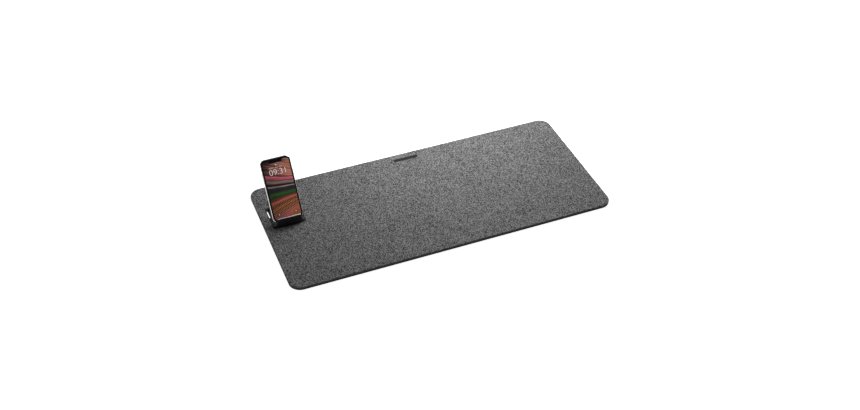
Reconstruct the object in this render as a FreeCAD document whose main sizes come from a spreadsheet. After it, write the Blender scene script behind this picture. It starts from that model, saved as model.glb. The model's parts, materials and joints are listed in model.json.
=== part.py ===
import FreeCAD, Part
import os
import re
import math
import Sketcher
from FreeCAD import Vector, Rotation, Placement

# Felt desk mat with a fold-up phone rest at its back left corner, and the
# phone that stands in it. Millimetres. +X is the mat's long side, +Y runs to
# its back edge, +Z is up. The origin is the centre of the mat's underside.

doc = FreeCAD.newDocument("desk_mat")
sheet = doc.addObject("Spreadsheet::Sheet", "dims")

DIMS = [
    # mat
    ("mat_length", 780.0), ("mat_width", 362.0), ("mat_corner", 27.5),
    ("rubber_thick", 1.5), ("core_thick", 3.5), ("felt_thick", 3.0), ("felt_round", 1.0),
    ("film_thick", 0.3), ("film_back", 76.0), ("side_open", 4.0), ("side_run", 24.0),
    ("tag_length", 62.0), ("tag_width", 10.0), ("tag_rise", 0.5), ("tag_x", 1.5), ("tag_y", 158.0),
    # holder frame let into the mat
    ("holder_x", -332.0), ("frame_width", 77.6), ("frame_wall", 1.5), ("frame_front", 15.4),
    ("frame_back", 101.5), ("frame_low", 0.8), ("frame_top", 7.8), ("flange_out", 5.0),
    ("flange_thick", 0.8), ("ear_width", 5.5), ("frame_corner", 1.0),
    # hinge
    ("hinge_y", 32.5), ("hinge_z", 4.2), ("knuckle_rad", 3.3), ("pin_rad", 1.25),
    ("pin_play", 0.05), ("pin_length", 76.0), ("rail_gap", 0.3), ("sleeve_rad", 2.0), ("sleeve_length", 8.0),
    # folding back rest
    ("lean", 54.0), ("flap_width", 73.6), ("flap_reach", 64.8), ("flap_core_thick", 2.4),
    ("flap_skin", 2.1), ("flap_start", 3.8), ("tongue_reach", 14.0), ("flap_corner", 3.0),
    ("notch_rad", 9.0), ("rivet_rad", 1.0), ("rivet_head", 2.2), ("rivet_y", 9.0),
    # front lip
    ("lip_front", 25.4), ("lip_width", 56.0), ("lip_thick", 3.0), ("lip_low", 1.0),
    ("lip_top", 32.5), ("lip_corner", 3.0), ("pad_thick", 1.0), ("pad_low", 10.0),
    ("pad_top", 27.0), ("screw_rad", 1.0), ("screw_head", 1.9), ("screw_sink", 1.0),
    ("screw_length", 10.4), ("screw_x", 18.0), ("screw_z", 2.9),
    # phone
    ("phone_width", 71.5), ("phone_height", 146.7), ("phone_thick", 7.7), ("phone_corner", 11.5),
    ("phone_gap", 0.35), ("phone_seat", 10.8), ("glass_thick", 0.8), ("glass_inset", 1.5),
    ("glass_round", 0.35), ("band_wall", 2.6), ("band_round", 2.2), ("plate_low", 5.0),
    ("plate_thick", 0.4), ("panel_gap", 0.2), ("notch_width", 35.0), ("notch_deep", 6.0),
    ("key_z", 3.4), ("key_high", 2.6), ("key_gap", 0.3), ("key_proud", 0.45), ("key_flange", 0.7),
    ("power_y", 104.0), ("power_length", 17.0), ("louder_y", 111.0), ("softer_y", 97.3),
    ("volume_length", 10.4), ("mute_y", 125.3), ("mute_length", 5.6), ("mute_high", 1.6),
    ("tray_y", 66.0), ("tray_length", 14.0), ("tray_high", 2.0), ("port_width", 9.0),
    ("port_high", 2.8), ("grille_rad", 0.7), ("grille_pitch", 2.6), ("grille_x", 11.0),
    ("cam_x", 22.0), ("cam_y", 127.0), ("cam_width", 12.4), ("cam_length", 28.4),
    ("cam_proud", 1.3), ("lens_rad", 4.4), ("lens_pitch", 15.6), ("flash_rad", 1.5),
    ("slot_length", 9.6), ("slot_high", 1.3), ("slot_down", 3.9),
]
VAL = dict(DIMS)
for row, (alias, value) in enumerate(DIMS, start=1):
    sheet.set("A%d" % row, alias)
    sheet.set("B%d" % row, repr(value))
    sheet.setAlias("B%d" % row, alias)
work = doc.addObject("Spreadsheet::Sheet", "work")
doc.recompute()

WORD = re.compile(r"\b(" + "|".join(sorted(VAL, key=len, reverse=True)) + r")\b")


def ex(text):
    """Spell a size out as an expression on the sheet's aliases."""
    return WORD.sub(lambda found: "dims." + found.group(1), str(text))


def num(text):
    """The same size as a number, for first positions of sketch geometry."""
    work.set("A1", "=" + ex(text))
    doc.recompute([work])
    return float(work.get("A1"))


SUBPARTS = {}


def keep(obj, node):
    obj.Label = node
    SUBPARTS[node] = obj
    return obj


def bind(obj, **sizes):
    for prop, text in sizes.items():
        obj.setExpression(prop.replace("__", "."), ex(text))
    return obj


# The four places that pieces are drawn in: the mat's own, the back rest's
# (origin on the hinge axis, Y up the rest, Z out of its front face) and the
# phone's (origin at the middle of the bottom edge of its back).
SEAT_Y = "hinge_y + phone_seat * cos(lean) - (flap_core_thick / 2 + flap_skin + phone_gap) * sin(lean)"
SEAT_Z = "hinge_z + phone_seat * sin(lean) + (flap_core_thick / 2 + flap_skin + phone_gap) * cos(lean)"
TILT = Rotation(Vector(1, 0, 0), VAL["lean"])


def loose(obj):
    """A lone primitive is wrapped, so that it keeps its own place inside the group's."""
    if obj.TypeId in ("Part::Box", "Part::Cylinder", "Part::Cone"):
        holder = doc.addObject("Part::Compound", obj.Name + "_piece")
        holder.Links = [obj]
        return holder
    return obj


def on_flap(obj):
    obj = loose(obj)
    obj.Placement = Placement(Vector(0, 0, 0), TILT)
    bind(obj, Placement__Base__x="holder_x", Placement__Base__y="hinge_y", Placement__Base__z="hinge_z")
    return obj


def on_phone(obj):
    obj = loose(obj)
    obj.Placement = Placement(Vector(0, 0, 0), TILT)
    bind(obj, Placement__Base__x="holder_x", Placement__Base__y=SEAT_Y, Placement__Base__z=SEAT_Z)
    return obj


def new_body(name):
    return doc.addObject("PartDesign::Body", name)


def plane(body, role):
    for item in body.Origin.OriginFeatures:
        if item.Role == role:
            return item
    raise RuntimeError("no plane " + role)


def new_sketch(body, name, role="XY_Plane", at=("0", "0", "0")):
    sketch = body.newObject("Sketcher::SketchObject", name)
    sketch.AttachmentSupport = [(plane(body, role), "")]
    sketch.MapMode = "FlatFace"
    bind(sketch, AttachmentOffset__Base__x=at[0], AttachmentOffset__Base__y=at[1],
         AttachmentOffset__Base__z=at[2])
    return sketch


def draw_rect(sketch, wide, high, rad=None):
    """A rectangle about the sketch origin, with rounded corners if rad is given."""
    w, t = num(wide) / 2, num(high) / 2
    con = Sketcher.Constraint
    if rad is None:
        pts = [Vector(-w, -t, 0), Vector(w, -t, 0), Vector(w, t, 0), Vector(-w, t, 0)]
        for k in range(4):
            sketch.addGeometry(Part.LineSegment(pts[k], pts[(k + 1) % 4]), False)
        for k in range(4):
            sketch.addConstraint(con("Coincident", k, 2, (k + 1) % 4, 1))
        for k in (0, 2):
            sketch.addConstraint(con("Horizontal", k))
        for k in (1, 3):
            sketch.addConstraint(con("Vertical", k))
        sketch.addConstraint(con("Symmetric", 0, 1, 2, 1, -1, 1))
        a = sketch.addConstraint(con("DistanceX", 0, 1, 0, 2, 2 * w))
        b = sketch.addConstraint(con("DistanceY", 1, 1, 1, 2, 2 * t))
    else:
        r = num(rad)
        lines = [((-w + r, -t), (w - r, -t)), ((w, -t + r), (w, t - r)),
                 ((w - r, t), (-w + r, t)), ((-w, t - r), (-w, -t + r))]
        for (x1, y1), (x2, y2) in lines:
            sketch.addGeometry(Part.LineSegment(Vector(x1, y1, 0), Vector(x2, y2, 0)), False)
        spots = [(w - r, -t + r, -90), (w - r, t - r, 0), (-w + r, t - r, 90), (-w + r, -t + r, 180)]
        for x, y, start in spots:
            circle = Part.Circle(Vector(x, y, 0), Vector(0, 0, 1), r)
            sketch.addGeometry(Part.ArcOfCircle(circle, math.radians(start), math.radians(start + 90)), False)
        for k in range(4):
            sketch.addConstraint(con("Tangent", k, 2, 4 + k, 1))
            sketch.addConstraint(con("Tangent", 4 + k, 2, (k + 1) % 4, 1))
        for k in (0, 2):
            sketch.addConstraint(con("Horizontal", k))
        for k in (1, 3):
            sketch.addConstraint(con("Vertical", k))
        for k in (5, 6, 7):
            sketch.addConstraint(con("Equal", 4, k))
        sketch.addConstraint(con("Symmetric", 4, 3, 6, 3, -1, 1))
        a = sketch.addConstraint(con("DistanceX", 3, 1, 1, 1, 2 * w))
        b = sketch.addConstraint(con("DistanceY", 0, 1, 2, 1, 2 * t))
        c = sketch.addConstraint(con("Radius", 4, r))
        sketch.renameConstraint(c, "rounding")
        sketch.setExpression("Constraints.rounding", ex(rad))
    sketch.renameConstraint(a, "across")
    sketch.renameConstraint(b, "along")
    sketch.setExpression("Constraints.across", ex(wide))
    sketch.setExpression("Constraints.along", ex(high))


def draw_circle(sketch, rad):
    sketch.addGeometry(Part.Circle(Vector(0, 0, 0), Vector(0, 0, 1), num(rad)), False)
    sketch.addConstraint(Sketcher.Constraint("Coincident", 0, 3, -1, 1))
    a = sketch.addConstraint(Sketcher.Constraint("Radius", 0, num(rad)))
    sketch.renameConstraint(a, "round")
    sketch.setExpression("Constraints.round", ex(rad))


def draw_tongue(sketch, rad, back):
    """A half circle about the sketch origin, drawn out to one side by back."""
    r, b = num(rad), num(back)
    con = Sketcher.Constraint
    circle = Part.Circle(Vector(0, 0, 0), Vector(0, 0, 1), r)
    sketch.addGeometry(Part.ArcOfCircle(circle, -math.pi / 2, math.pi / 2), False)
    sketch.addGeometry(Part.LineSegment(Vector(0, r, 0), Vector(-b, r, 0)), False)
    sketch.addGeometry(Part.LineSegment(Vector(-b, r, 0), Vector(-b, -r, 0)), False)
    sketch.addGeometry(Part.LineSegment(Vector(-b, -r, 0), Vector(0, -r, 0)), False)
    sketch.addConstraint(con("Coincident", 0, 3, -1, 1))
    sketch.addConstraint(con("Tangent", 0, 2, 1, 1))
    sketch.addConstraint(con("Coincident", 1, 2, 2, 1))
    sketch.addConstraint(con("Coincident", 2, 2, 3, 1))
    sketch.addConstraint(con("Tangent", 3, 2, 0, 1))
    sketch.addConstraint(con("Horizontal", 1))
    sketch.addConstraint(con("Vertical", 2))
    a = sketch.addConstraint(con("Radius", 0, r))
    c = sketch.addConstraint(con("DistanceX", 2, 1, -1, 1, b))
    sketch.renameConstraint(a, "knuckle")
    sketch.renameConstraint(c, "back")
    sketch.setExpression("Constraints.knuckle", ex(rad))
    sketch.setExpression("Constraints.back", ex(back))


def pad(body, name, sketch, length):
    feature = body.newObject("PartDesign::Pad", name)
    feature.Profile = sketch
    bind(feature, Length=length)
    doc.recompute()
    return feature


def pocket(body, name, sketch, length, flip=False):
    """Cut along the sketch's own normal, or against it when flip is set."""
    doc.recompute()
    before = body.Shape.Volume
    feature = body.newObject("PartDesign::Pocket", name)
    feature.Profile = sketch
    feature.Reversed = not flip
    bind(feature, Length=length)
    doc.recompute()
    if body.Shape.Volume > before - 1e-3:
        raise RuntimeError("%s cuts nothing" % name)
    return feature


def dress(body, name, kind, prop, size, test):
    """Round or chamfer the edges of the body that pass the test."""
    doc.recompute()
    base = body.Tip
    picks = ["Edge%d" % (k + 1) for k, edge in enumerate(base.Shape.Edges) if test(edge)]
    if not picks:
        raise RuntimeError("%s finds no edge" % name)
    feature = body.newObject("PartDesign::" + kind, name)
    feature.Base = (base, picks)
    bind(feature, **{prop: size})
    doc.recompute()
    return feature


def flat_at(z):
    return lambda edge: abs(edge.BoundBox.ZMin - z) < 1e-4 and abs(edge.BoundBox.ZMax - z) < 1e-4


def box(name, x, y, z, dx, dy, dz):
    item = doc.addObject("Part::Box", name)
    bind(item, Length=dx, Width=dy, Height=dz,
         Placement__Base__x=x, Placement__Base__y=y, Placement__Base__z=z)
    return item


AXES = {"X": Rotation(Vector(0, 1, 0), 90), "Y": Rotation(Vector(1, 0, 0), -90), "Z": Rotation()}


def rod(name, axis, x, y, z, rad, length, top=None):
    """A cylinder, or a cone when top is given, from its start point along an axis."""
    item = doc.addObject("Part::Cylinder" if top is None else "Part::Cone", name)
    item.Placement = Placement(Vector(0, 0, 0), AXES[axis])
    if top is None:
        bind(item, Radius=rad)
    else:
        bind(item, Radius1=rad, Radius2=top)
    bind(item, Height=length, Placement__Base__x=x, Placement__Base__y=y, Placement__Base__z=z)
    return item


def cut(name, base, tool):
    item = doc.addObject("Part::Cut", name)
    item.Base, item.Tool = base, tool
    return item


def fuse(name, *shapes):
    item = doc.addObject("Part::MultiFuse", name)
    item.Shapes = list(shapes)
    return item


# ---------------------------------------------------------------- the mat
FELT_LOW = "rubber_thick + core_thick"
WIN_MID = "(frame_front + frame_back) / 2"

felt = new_body("felt_body")
s = new_sketch(felt, "felt_outline", at=("0", "0", FELT_LOW))
draw_rect(s, "mat_length", "mat_width", "mat_corner")
pad(felt, "felt_sheet", s, "felt_thick")
dress(felt, "felt_edge", "Fillet", "Radius", "felt_round", flat_at(8.0))
s = new_sketch(felt, "felt_window", at=("holder_x", "(lip_front + frame_back) / 2", FELT_LOW))
draw_rect(s, "frame_width", "frame_back - lip_front", "frame_corner")
pocket(felt, "felt_cut", s, "felt_thick + 1")
keep(felt, "felt_top")

core = new_body("core_body")
s = new_sketch(core, "core_outline", at=("0", "0", "rubber_thick"))
draw_rect(s, "mat_length - 1.2", "mat_width - 1.2", "mat_corner - 0.6")
pad(core, "core_sheet", s, "core_thick")
s = new_sketch(core, "core_window", at=("holder_x", WIN_MID, "rubber_thick"))
draw_rect(s, "frame_width", "frame_back - frame_front", "frame_corner")
pocket(core, "core_cut", s, "core_thick")
s = new_sketch(core, "core_rebate", at=("holder_x", WIN_MID, FELT_LOW + " - flange_thick"))
draw_rect(s, "frame_width + 2 * flange_out", "frame_back - frame_front + 2 * flange_out", "frame_corner + flange_out")
pocket(core, "core_step", s, "flange_thick")
keep(core, "core_board")

rubber = new_body("rubber_body")
s = new_sketch(rubber, "rubber_outline")
draw_rect(s, "mat_length - 0.8", "mat_width - 0.8", "mat_corner - 0.4")
pad(rubber, "rubber_sheet", s, "rubber_thick")
# Under the window the base thins to a film that closes it, open only in a narrow slot at its left side.
s = new_sketch(rubber, "rubber_recess", at=("holder_x", WIN_MID, "film_thick"))
draw_rect(s, "frame_width", "frame_back - frame_front", "frame_corner")
pocket(rubber, "rubber_step", s, "rubber_thick")
s = new_sketch(rubber, "rubber_window", at=("holder_x - frame_width / 2 + frame_wall + side_open / 2", "film_back + side_run / 2", "0"))
draw_rect(s, "side_open", "side_run", "side_open / 4")
pocket(rubber, "rubber_cut", s, "rubber_thick")
keep(rubber, "base_rubber")

tag = new_body("tag_body")
s = new_sketch(tag, "tag_outline", at=("tag_x", "tag_y", FELT_LOW + " + felt_thick"))
draw_rect(s, "tag_length", "tag_width", "tag_width / 2 - 0.1")
pad(tag, "tag_sheet", s, "tag_rise")
keep(tag, "plain_tag")

# ------------------------------------------------------- the holder's frame
frame = new_body("frame_body")
s = new_sketch(frame, "frame_block", at=("holder_x", WIN_MID, "frame_low"))
draw_rect(s, "frame_width", "frame_back - frame_front", "frame_corner")
pad(frame, "frame_lower", s, FELT_LOW + " - frame_low")
s = new_sketch(frame, "frame_rim", at=("holder_x", "(lip_front + frame_back) / 2", FELT_LOW + " - 0.1"))
draw_rect(s, "frame_width", "frame_back - lip_front", "frame_corner")
pad(frame, "frame_upper", s, "frame_top - (" + FELT_LOW + ") + 0.1")
s = new_sketch(frame, "frame_flange", at=("holder_x", WIN_MID, FELT_LOW + " - flange_thick"))
draw_rect(s, "frame_width + 2 * flange_out", "frame_back - frame_front + 2 * flange_out", "frame_corner + flange_out")
pad(frame, "frame_skirt", s, "flange_thick")
s = new_sketch(frame, "frame_opening", at=("holder_x", "(lip_front + frame_back - frame_wall) / 2", "0"))
draw_rect(s, "frame_width - 2 * frame_wall", "frame_back - frame_wall - lip_front")
pocket(frame, "frame_hollow", s, "frame_top + 1")
for side, start in (("left", "holder_x - frame_width / 2 + frame_wall - 0.2"),
                    ("right", "holder_x + frame_width / 2 - frame_wall - ear_width")):
    s = new_sketch(frame, "ear_%s_shape" % side, "YZ_Plane", ("hinge_y", "hinge_z", start))
    draw_tongue(s, "knuckle_rad", "hinge_y - lip_front")
    pad(frame, "ear_%s" % side, s, "ear_width + 0.2")
s = new_sketch(frame, "pin_line", "YZ_Plane", ("hinge_y", "hinge_z", "holder_x - pin_length / 2"))
draw_circle(s, "pin_rad")
pocket(frame, "pin_bore", s, "pin_length")
for side, sign in (("left", "-"), ("right", "+")):
    s = new_sketch(frame, "screw_%s_spot" % side, "XZ_Plane",
                   ("holder_x %s screw_x" % sign, "screw_z", "-(lip_front + 0.1)"))
    draw_circle(s, "screw_rad")
    pocket(frame, "screw_%s_hole" % side, s, "screw_length - lip_thick + 0.1")
keep(frame, "holder_frame")

keep(rod("pin_rod", "X", "holder_x - pin_length / 2", "hinge_y", "hinge_z", "pin_rad", "pin_length"), "hinge_pin")

# ------------------------------------------------------------ the front lip
lip = new_body("lip_body")
s = new_sketch(lip, "lip_face", "XZ_Plane", ("holder_x", "(lip_low + lip_top) / 2", "-lip_front - lip_thick"))
draw_rect(s, "lip_width", "lip_top - lip_low")
pad(lip, "lip_sheet", s, "lip_thick")
dress(lip, "lip_round", "Fillet", "Radius", "lip_corner",
      lambda e: abs(e.BoundBox.ZMin - VAL["lip_top"]) < 1e-4 and e.BoundBox.YLength > 2.0 and e.BoundBox.XLength < 1e-4)
screws = []
tools = []
for side, sign in (("left", "-"), ("right", "+")):
    x = "holder_x %s screw_x" % sign
    for group, purpose in ((screws, "screw"), (tools, "seat")):
        head = rod("%s_%s_head" % (purpose, side), "Y", x, "lip_front + lip_thick - screw_sink", "screw_z",
                   "screw_rad", "screw_sink", "screw_head")
        shank = rod("%s_%s_shank" % (purpose, side), "Y", x, "lip_front + lip_thick - screw_length", "screw_z",
                    "screw_rad", "screw_length - screw_sink")
        group.append(fuse("%s_%s" % (purpose, side), head, shank))
keep(cut("lip_drilled", lip, fuse("screw_seats", *tools)), "lip_plate")
keep(fuse("screw_pair", *screws), "lip_screws")

lip_pad = new_body("pad_body")
s = new_sketch(lip_pad, "pad_face", "XZ_Plane",
               ("holder_x", "(pad_low + pad_top) / 2", "-lip_front - lip_thick - pad_thick"))
draw_rect(s, "lip_width - 2", "pad_top - pad_low", "lip_corner - 1")
pad(lip_pad, "pad_sheet", s, "pad_thick")
keep(lip_pad, "lip_pad")

# ------------------------------------------------------ the folding back rest
RAIL = "frame_width - 2 * frame_wall - 2 * ear_width - 2 * rail_gap"
rail = new_body("rail_body")
s = new_sketch(rail, "rail_round", "YZ_Plane", ("0", "0", "-(" + RAIL + ") / 2"))
draw_circle(s, "knuckle_rad")
pad(rail, "rail_barrel", s, RAIL)
s = new_sketch(rail, "rail_tongue", at=("0", "flap_start / 2", "-flap_core_thick / 2"))
draw_rect(s, RAIL, "flap_start + 0.4")
pad(rail, "rail_neck", s, "flap_core_thick")
s = new_sketch(rail, "rail_blade", at=("0", "(flap_start + 0.2 + tongue_reach) / 2", "-flap_core_thick / 2"))
draw_rect(s, "flap_width", "tongue_reach - flap_start - 0.2")
pad(rail, "rail_plate", s, "flap_core_thick")
s = new_sketch(rail, "rail_bore_line", "YZ_Plane", ("0", "0", "-(" + RAIL + ") / 2 - 1"))
draw_circle(s, "pin_rad + pin_play")
pocket(rail, "rail_bore", s, RAIL + " + 2")
for side, start in (("left", "-(" + RAIL + ") / 2"), ("right", "(" + RAIL + ") / 2 - sleeve_length")):
    s = new_sketch(rail, "rail_seat_%s" % side, "YZ_Plane", ("0", "0", start))
    draw_circle(s, "sleeve_rad")
    pocket(rail, "rail_cup_%s" % side, s, "sleeve_length")
RIVETS = ("-30", "-11", "11", "30")
for k, x in enumerate(RIVETS):
    s = new_sketch(rail, "rail_rivet_%d" % k, at=(x, "rivet_y", "-flap_core_thick / 2 - 1"))
    draw_circle(s, "rivet_rad")
    pocket(rail, "rail_hole_%d" % k, s, "flap_core_thick + 2")
keep(on_flap(rail), "flap_rail")

sleeves = []
for side, start in (("left", "-(" + RAIL + ") / 2"), ("right", "(" + RAIL + ") / 2 - sleeve_length")):
    outer = rod("sleeve_%s_out" % side, "X", start, "0", "0", "sleeve_rad", "sleeve_length")
    inner = rod("sleeve_%s_in" % side, "X", start, "0", "0", "pin_rad + pin_play", "sleeve_length")
    sleeves.append(cut("sleeve_%s" % side, outer, inner))
keep(on_flap(fuse("sleeve_pair", *sleeves)), "friction_sleeves")


def leaf(node, low, start, thick):
    """One layer of the back rest, rounded at its free corners, with a finger notch."""
    body = new_body(node + "_body")
    sk = new_sketch(body, node + "_outline", at=("0", "(%s + flap_reach) / 2" % start, low))
    draw_rect(sk, "flap_width", "flap_reach - (%s)" % start)
    pad(body, node + "_sheet", sk, thick)
    reach = VAL["flap_reach"]
    dress(body, node + "_corners", "Fillet", "Radius", "flap_corner",
          lambda e: abs(e.BoundBox.YMin - reach) < 1e-4 and e.BoundBox.ZLength > 1.0 and e.BoundBox.XLength < 1e-4)
    sk = new_sketch(body, node + "_notch_line", at=("0", "flap_reach + 3", low + " - 1"))
    draw_circle(sk, "notch_rad")
    pocket(body, node + "_notch", sk, thick + " + 2")
    return body


keep(on_flap(leaf("flap_core", "-flap_core_thick / 2", "tongue_reach", "flap_core_thick")), "flap_core")
keep(on_flap(leaf("flap_felt", "flap_core_thick / 2", "flap_start", "flap_skin")), "flap_felt")
back = leaf("flap_back", "-flap_core_thick / 2 - flap_skin", "flap_start", "flap_skin")
for k, x in enumerate(RIVETS):
    s = new_sketch(back, "back_rivet_%d" % k, at=(x, "rivet_y", "-flap_core_thick / 2 - flap_skin - 1"))
    draw_circle(s, "rivet_rad")
    pocket(back, "back_hole_%d" % k, s, "flap_skin + 2")
keep(on_flap(back), "flap_back")

rivets = []
for k, x in enumerate(RIVETS):
    head = rod("rivet_head_%d" % k, "Z", x, "rivet_y", "-flap_core_thick / 2 - flap_skin - 0.3", "rivet_head - 0.2", "0.3", "rivet_head")
    stem = rod("rivet_stem_%d" % k, "Z", x, "rivet_y", "-flap_core_thick / 2 - flap_skin", "rivet_rad", "flap_skin + flap_core_thick")
    rivets.append(fuse("rivet_%d" % k, head, stem))
keep(on_flap(fuse("rivet_row", *rivets)), "flap_rivets")

# ------------------------------------------------------------------ the phone
MID = "phone_height / 2"
band = new_body("band_body")
s = new_sketch(band, "band_outline", at=("0", MID, "glass_thick"))
draw_rect(s, "phone_width", "phone_height", "phone_corner")
pad(band, "band_block", s, "phone_thick - 2 * glass_thick")
dress(band, "band_soft", "Fillet", "Radius", "band_round",
      lambda e: flat_at(0.8)(e) or flat_at(6.9)(e))
s = new_sketch(band, "band_inside", at=("0", MID, "glass_thick - 0.1"))
draw_rect(s, "phone_width - 2 * band_wall", "phone_height - 2 * band_wall", "phone_corner - band_wall")
pocket(band, "band_hollow", s, "plate_low - glass_thick + 0.1")
s = new_sketch(band, "band_tray", at=("0", MID, "plate_low + plate_thick"))
draw_rect(s, "phone_width - 2 * band_wall", "phone_height - 2 * band_wall", "phone_corner - band_wall")
pocket(band, "band_recess", s, "phone_thick - glass_thick - plate_low - plate_thick + 0.1")
SLOTS = (("power", "power_y", "power_length", 1), ("louder", "louder_y", "volume_length", -1),
         ("softer", "softer_y", "volume_length", -1), ("mute", "mute_y", "mute_length", -1))
for name, y, length, side in SLOTS:
    start = "phone_width / 2 - band_wall - 0.1" if side > 0 else "-phone_width / 2 - 0.1"
    s = new_sketch(band, name + "_slot_line", "YZ_Plane", (y, "key_z", start))
    draw_rect(s, length + " + 2 * key_gap", "key_high + 2 * key_gap", "key_high / 2")
    pocket(band, name + "_slot", s, "band_wall + 0.2")
s = new_sketch(band, "tray_slot_line", "YZ_Plane", ("tray_y", "key_z", "phone_width / 2 - band_wall - 0.1"))
draw_rect(s, "tray_length", "tray_high")
pocket(band, "tray_slot", s, "band_wall + 0.2")
s = new_sketch(band, "port_line", "XZ_Plane", ("0", "key_z - 0.25", "-band_wall - 0.1"))
draw_rect(s, "port_width", "port_high", "port_high / 2 - 0.05")
pocket(band, "port_mouth", s, "band_wall + 0.2")
for k, x in enumerate(("-7.4", "7.4")):
    s = new_sketch(band, "band_screw_%d" % k, "XZ_Plane", (x, "key_z", "-band_wall - 0.1"))
    draw_circle(s, "0.75")
    pocket(band, "band_thread_%d" % k, s, "band_wall + 0.2")
for side, sign in (("right", ""), ("left", "-")):
    s = new_sketch(band, "grille_%s_spot" % side, "XZ_Plane", (sign + "grille_x", "key_z", "-band_wall - 0.1"))
    draw_circle(s, "grille_rad")
    first = pocket(band, "grille_%s" % side, s, "band_wall + 0.2")
    row = band.newObject("PartDesign::LinearPattern", "grille_%s_row" % side)
    row.Originals = [first]
    row.Direction = (s, ["H_Axis"])
    row.Reversed = side == "left"
    row.Occurrences = 5
    bind(row, Length="4 * grille_pitch")
    band.Tip = row
    doc.recompute()
keep(on_phone(band), "phone_frame")


def pane(node, low, outer_z):
    """A glass sheet on one face of the phone, softened along its outer rim."""
    body = new_body(node + "_body")
    sk = new_sketch(body, node + "_outline", at=("0", MID, low))
    draw_rect(sk, "phone_width - 2 * glass_inset", "phone_height - 2 * glass_inset", "phone_corner - glass_inset")
    pad(body, node + "_sheet", sk, "glass_thick")
    dress(body, node + "_rim", "Fillet", "Radius", "glass_round", flat_at(outer_z))
    return body


glass = pane("cover_glass", "phone_thick - glass_thick", 7.7)
s = new_sketch(glass, "ear_slot_line", at=("0", "phone_height - slot_down", "phone_thick - glass_thick - 0.1"))
draw_rect(s, "slot_length", "slot_high", "slot_high / 2 - 0.05")
pocket(glass, "ear_slot", s, "glass_thick + 0.2")
keep(on_phone(glass), "cover_glass")

rear = pane("back_glass", "0", 0.0)
s = new_sketch(rear, "cam_window_line", at=("cam_x", "cam_y", "-0.1"))
draw_rect(s, "cam_width", "cam_length", "cam_width / 2 - 0.1")
pocket(rear, "cam_window", s, "glass_thick + 0.2")
keep(on_phone(rear), "back_glass")

PLAN_W = "phone_width - 2 * band_wall - 2 * panel_gap"
PLAN_H = "phone_height - 2 * band_wall - 2 * panel_gap"
screen = new_body("screen_body")
s = new_sketch(screen, "screen_outline", at=("0", MID, "plate_low + plate_thick"))
draw_rect(s, PLAN_W, PLAN_H, "phone_corner - band_wall - panel_gap")
pad(screen, "screen_sheet", s, "phone_thick - glass_thick - plate_low - plate_thick")
s = new_sketch(screen, "screen_notch_line", at=("0", "phone_height - band_wall", "plate_low + plate_thick - 0.1"))
draw_rect(s, "notch_width", "2 * notch_deep", "2.5")
pocket(screen, "screen_notch", s, "2")
keep(on_phone(screen), "display_panel")

FRONT_LOW = "plate_low + plate_thick"
FRONT_T = "phone_thick - glass_thick - plate_low - plate_thick"
keep(on_phone(rod("front_cam_rod", "Z", "10.5", "phone_height - slot_down - 0.6", FRONT_LOW, "1.9", FRONT_T)), "front_camera")
keep(on_phone(box("receiver_box", "-6", "phone_height - slot_down - 1.6", FRONT_LOW, "12", "2.6", FRONT_T)), "earpiece_receiver")
keep(on_phone(box("mesh_box", "-slot_length / 2 + 0.6", "phone_height - slot_down - slot_high / 2", "phone_thick - glass_thick",
                  "slot_length - 1.2", "slot_high", "glass_thick - 0.25")), "earpiece_mesh")

# rear camera, flash
bezel = new_body("bezel_body")
s = new_sketch(bezel, "bezel_outline", at=("cam_x", "cam_y", "-cam_proud"))
draw_rect(s, "cam_width", "cam_length", "cam_width / 2 - 0.1")
pad(bezel, "bezel_block", s, "cam_proud + glass_thick")
dress(bezel, "bezel_rim", "Fillet", "Radius", "0.5", flat_at(-1.3))
for k, off in enumerate(("- lens_pitch / 2", "+ lens_pitch / 2")):
    s = new_sketch(bezel, "lens_line_%d" % k, at=("cam_x", "cam_y " + off, "-cam_proud - 0.1"))
    draw_circle(s, "lens_rad")
    pocket(bezel, "lens_hole_%d" % k, s, "cam_proud + glass_thick + 0.2")
s = new_sketch(bezel, "flash_line", at=("cam_x", "cam_y", "-cam_proud - 0.1"))
draw_circle(s, "flash_rad")
pocket(bezel, "flash_hole", s, "cam_proud + glass_thick + 0.2")
keep(on_phone(bezel), "camera_bezel")
keep(on_phone(fuse("lens_pair", *[rod("lens_%d" % k, "Z", "cam_x", "cam_y " + off, "-cam_proud + 0.3", "lens_rad", "0.8")
                                  for k, off in enumerate(("- lens_pitch / 2", "+ lens_pitch / 2"))])), "camera_lenses")
keep(on_phone(rod("flash_rod", "Z", "cam_x", "cam_y", "-cam_proud + 0.3", "flash_rad", "1.2")), "flash_lens")
keep(on_phone(fuse("camera_pair", box("camera_box", "cam_x - 6.5", "cam_y - 14", "glass_thick + 0.1", "13", "28", "plate_low - glass_thick - 0.1"),
                   *[rod("barrel_%d" % k, "Z", "cam_x", "cam_y " + off, "-cam_proud + 1.1", "lens_rad - 0.6", "cam_proud")
                     for k, off in enumerate(("- lens_pitch / 2", "+ lens_pitch / 2"))])), "camera_module")

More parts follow.
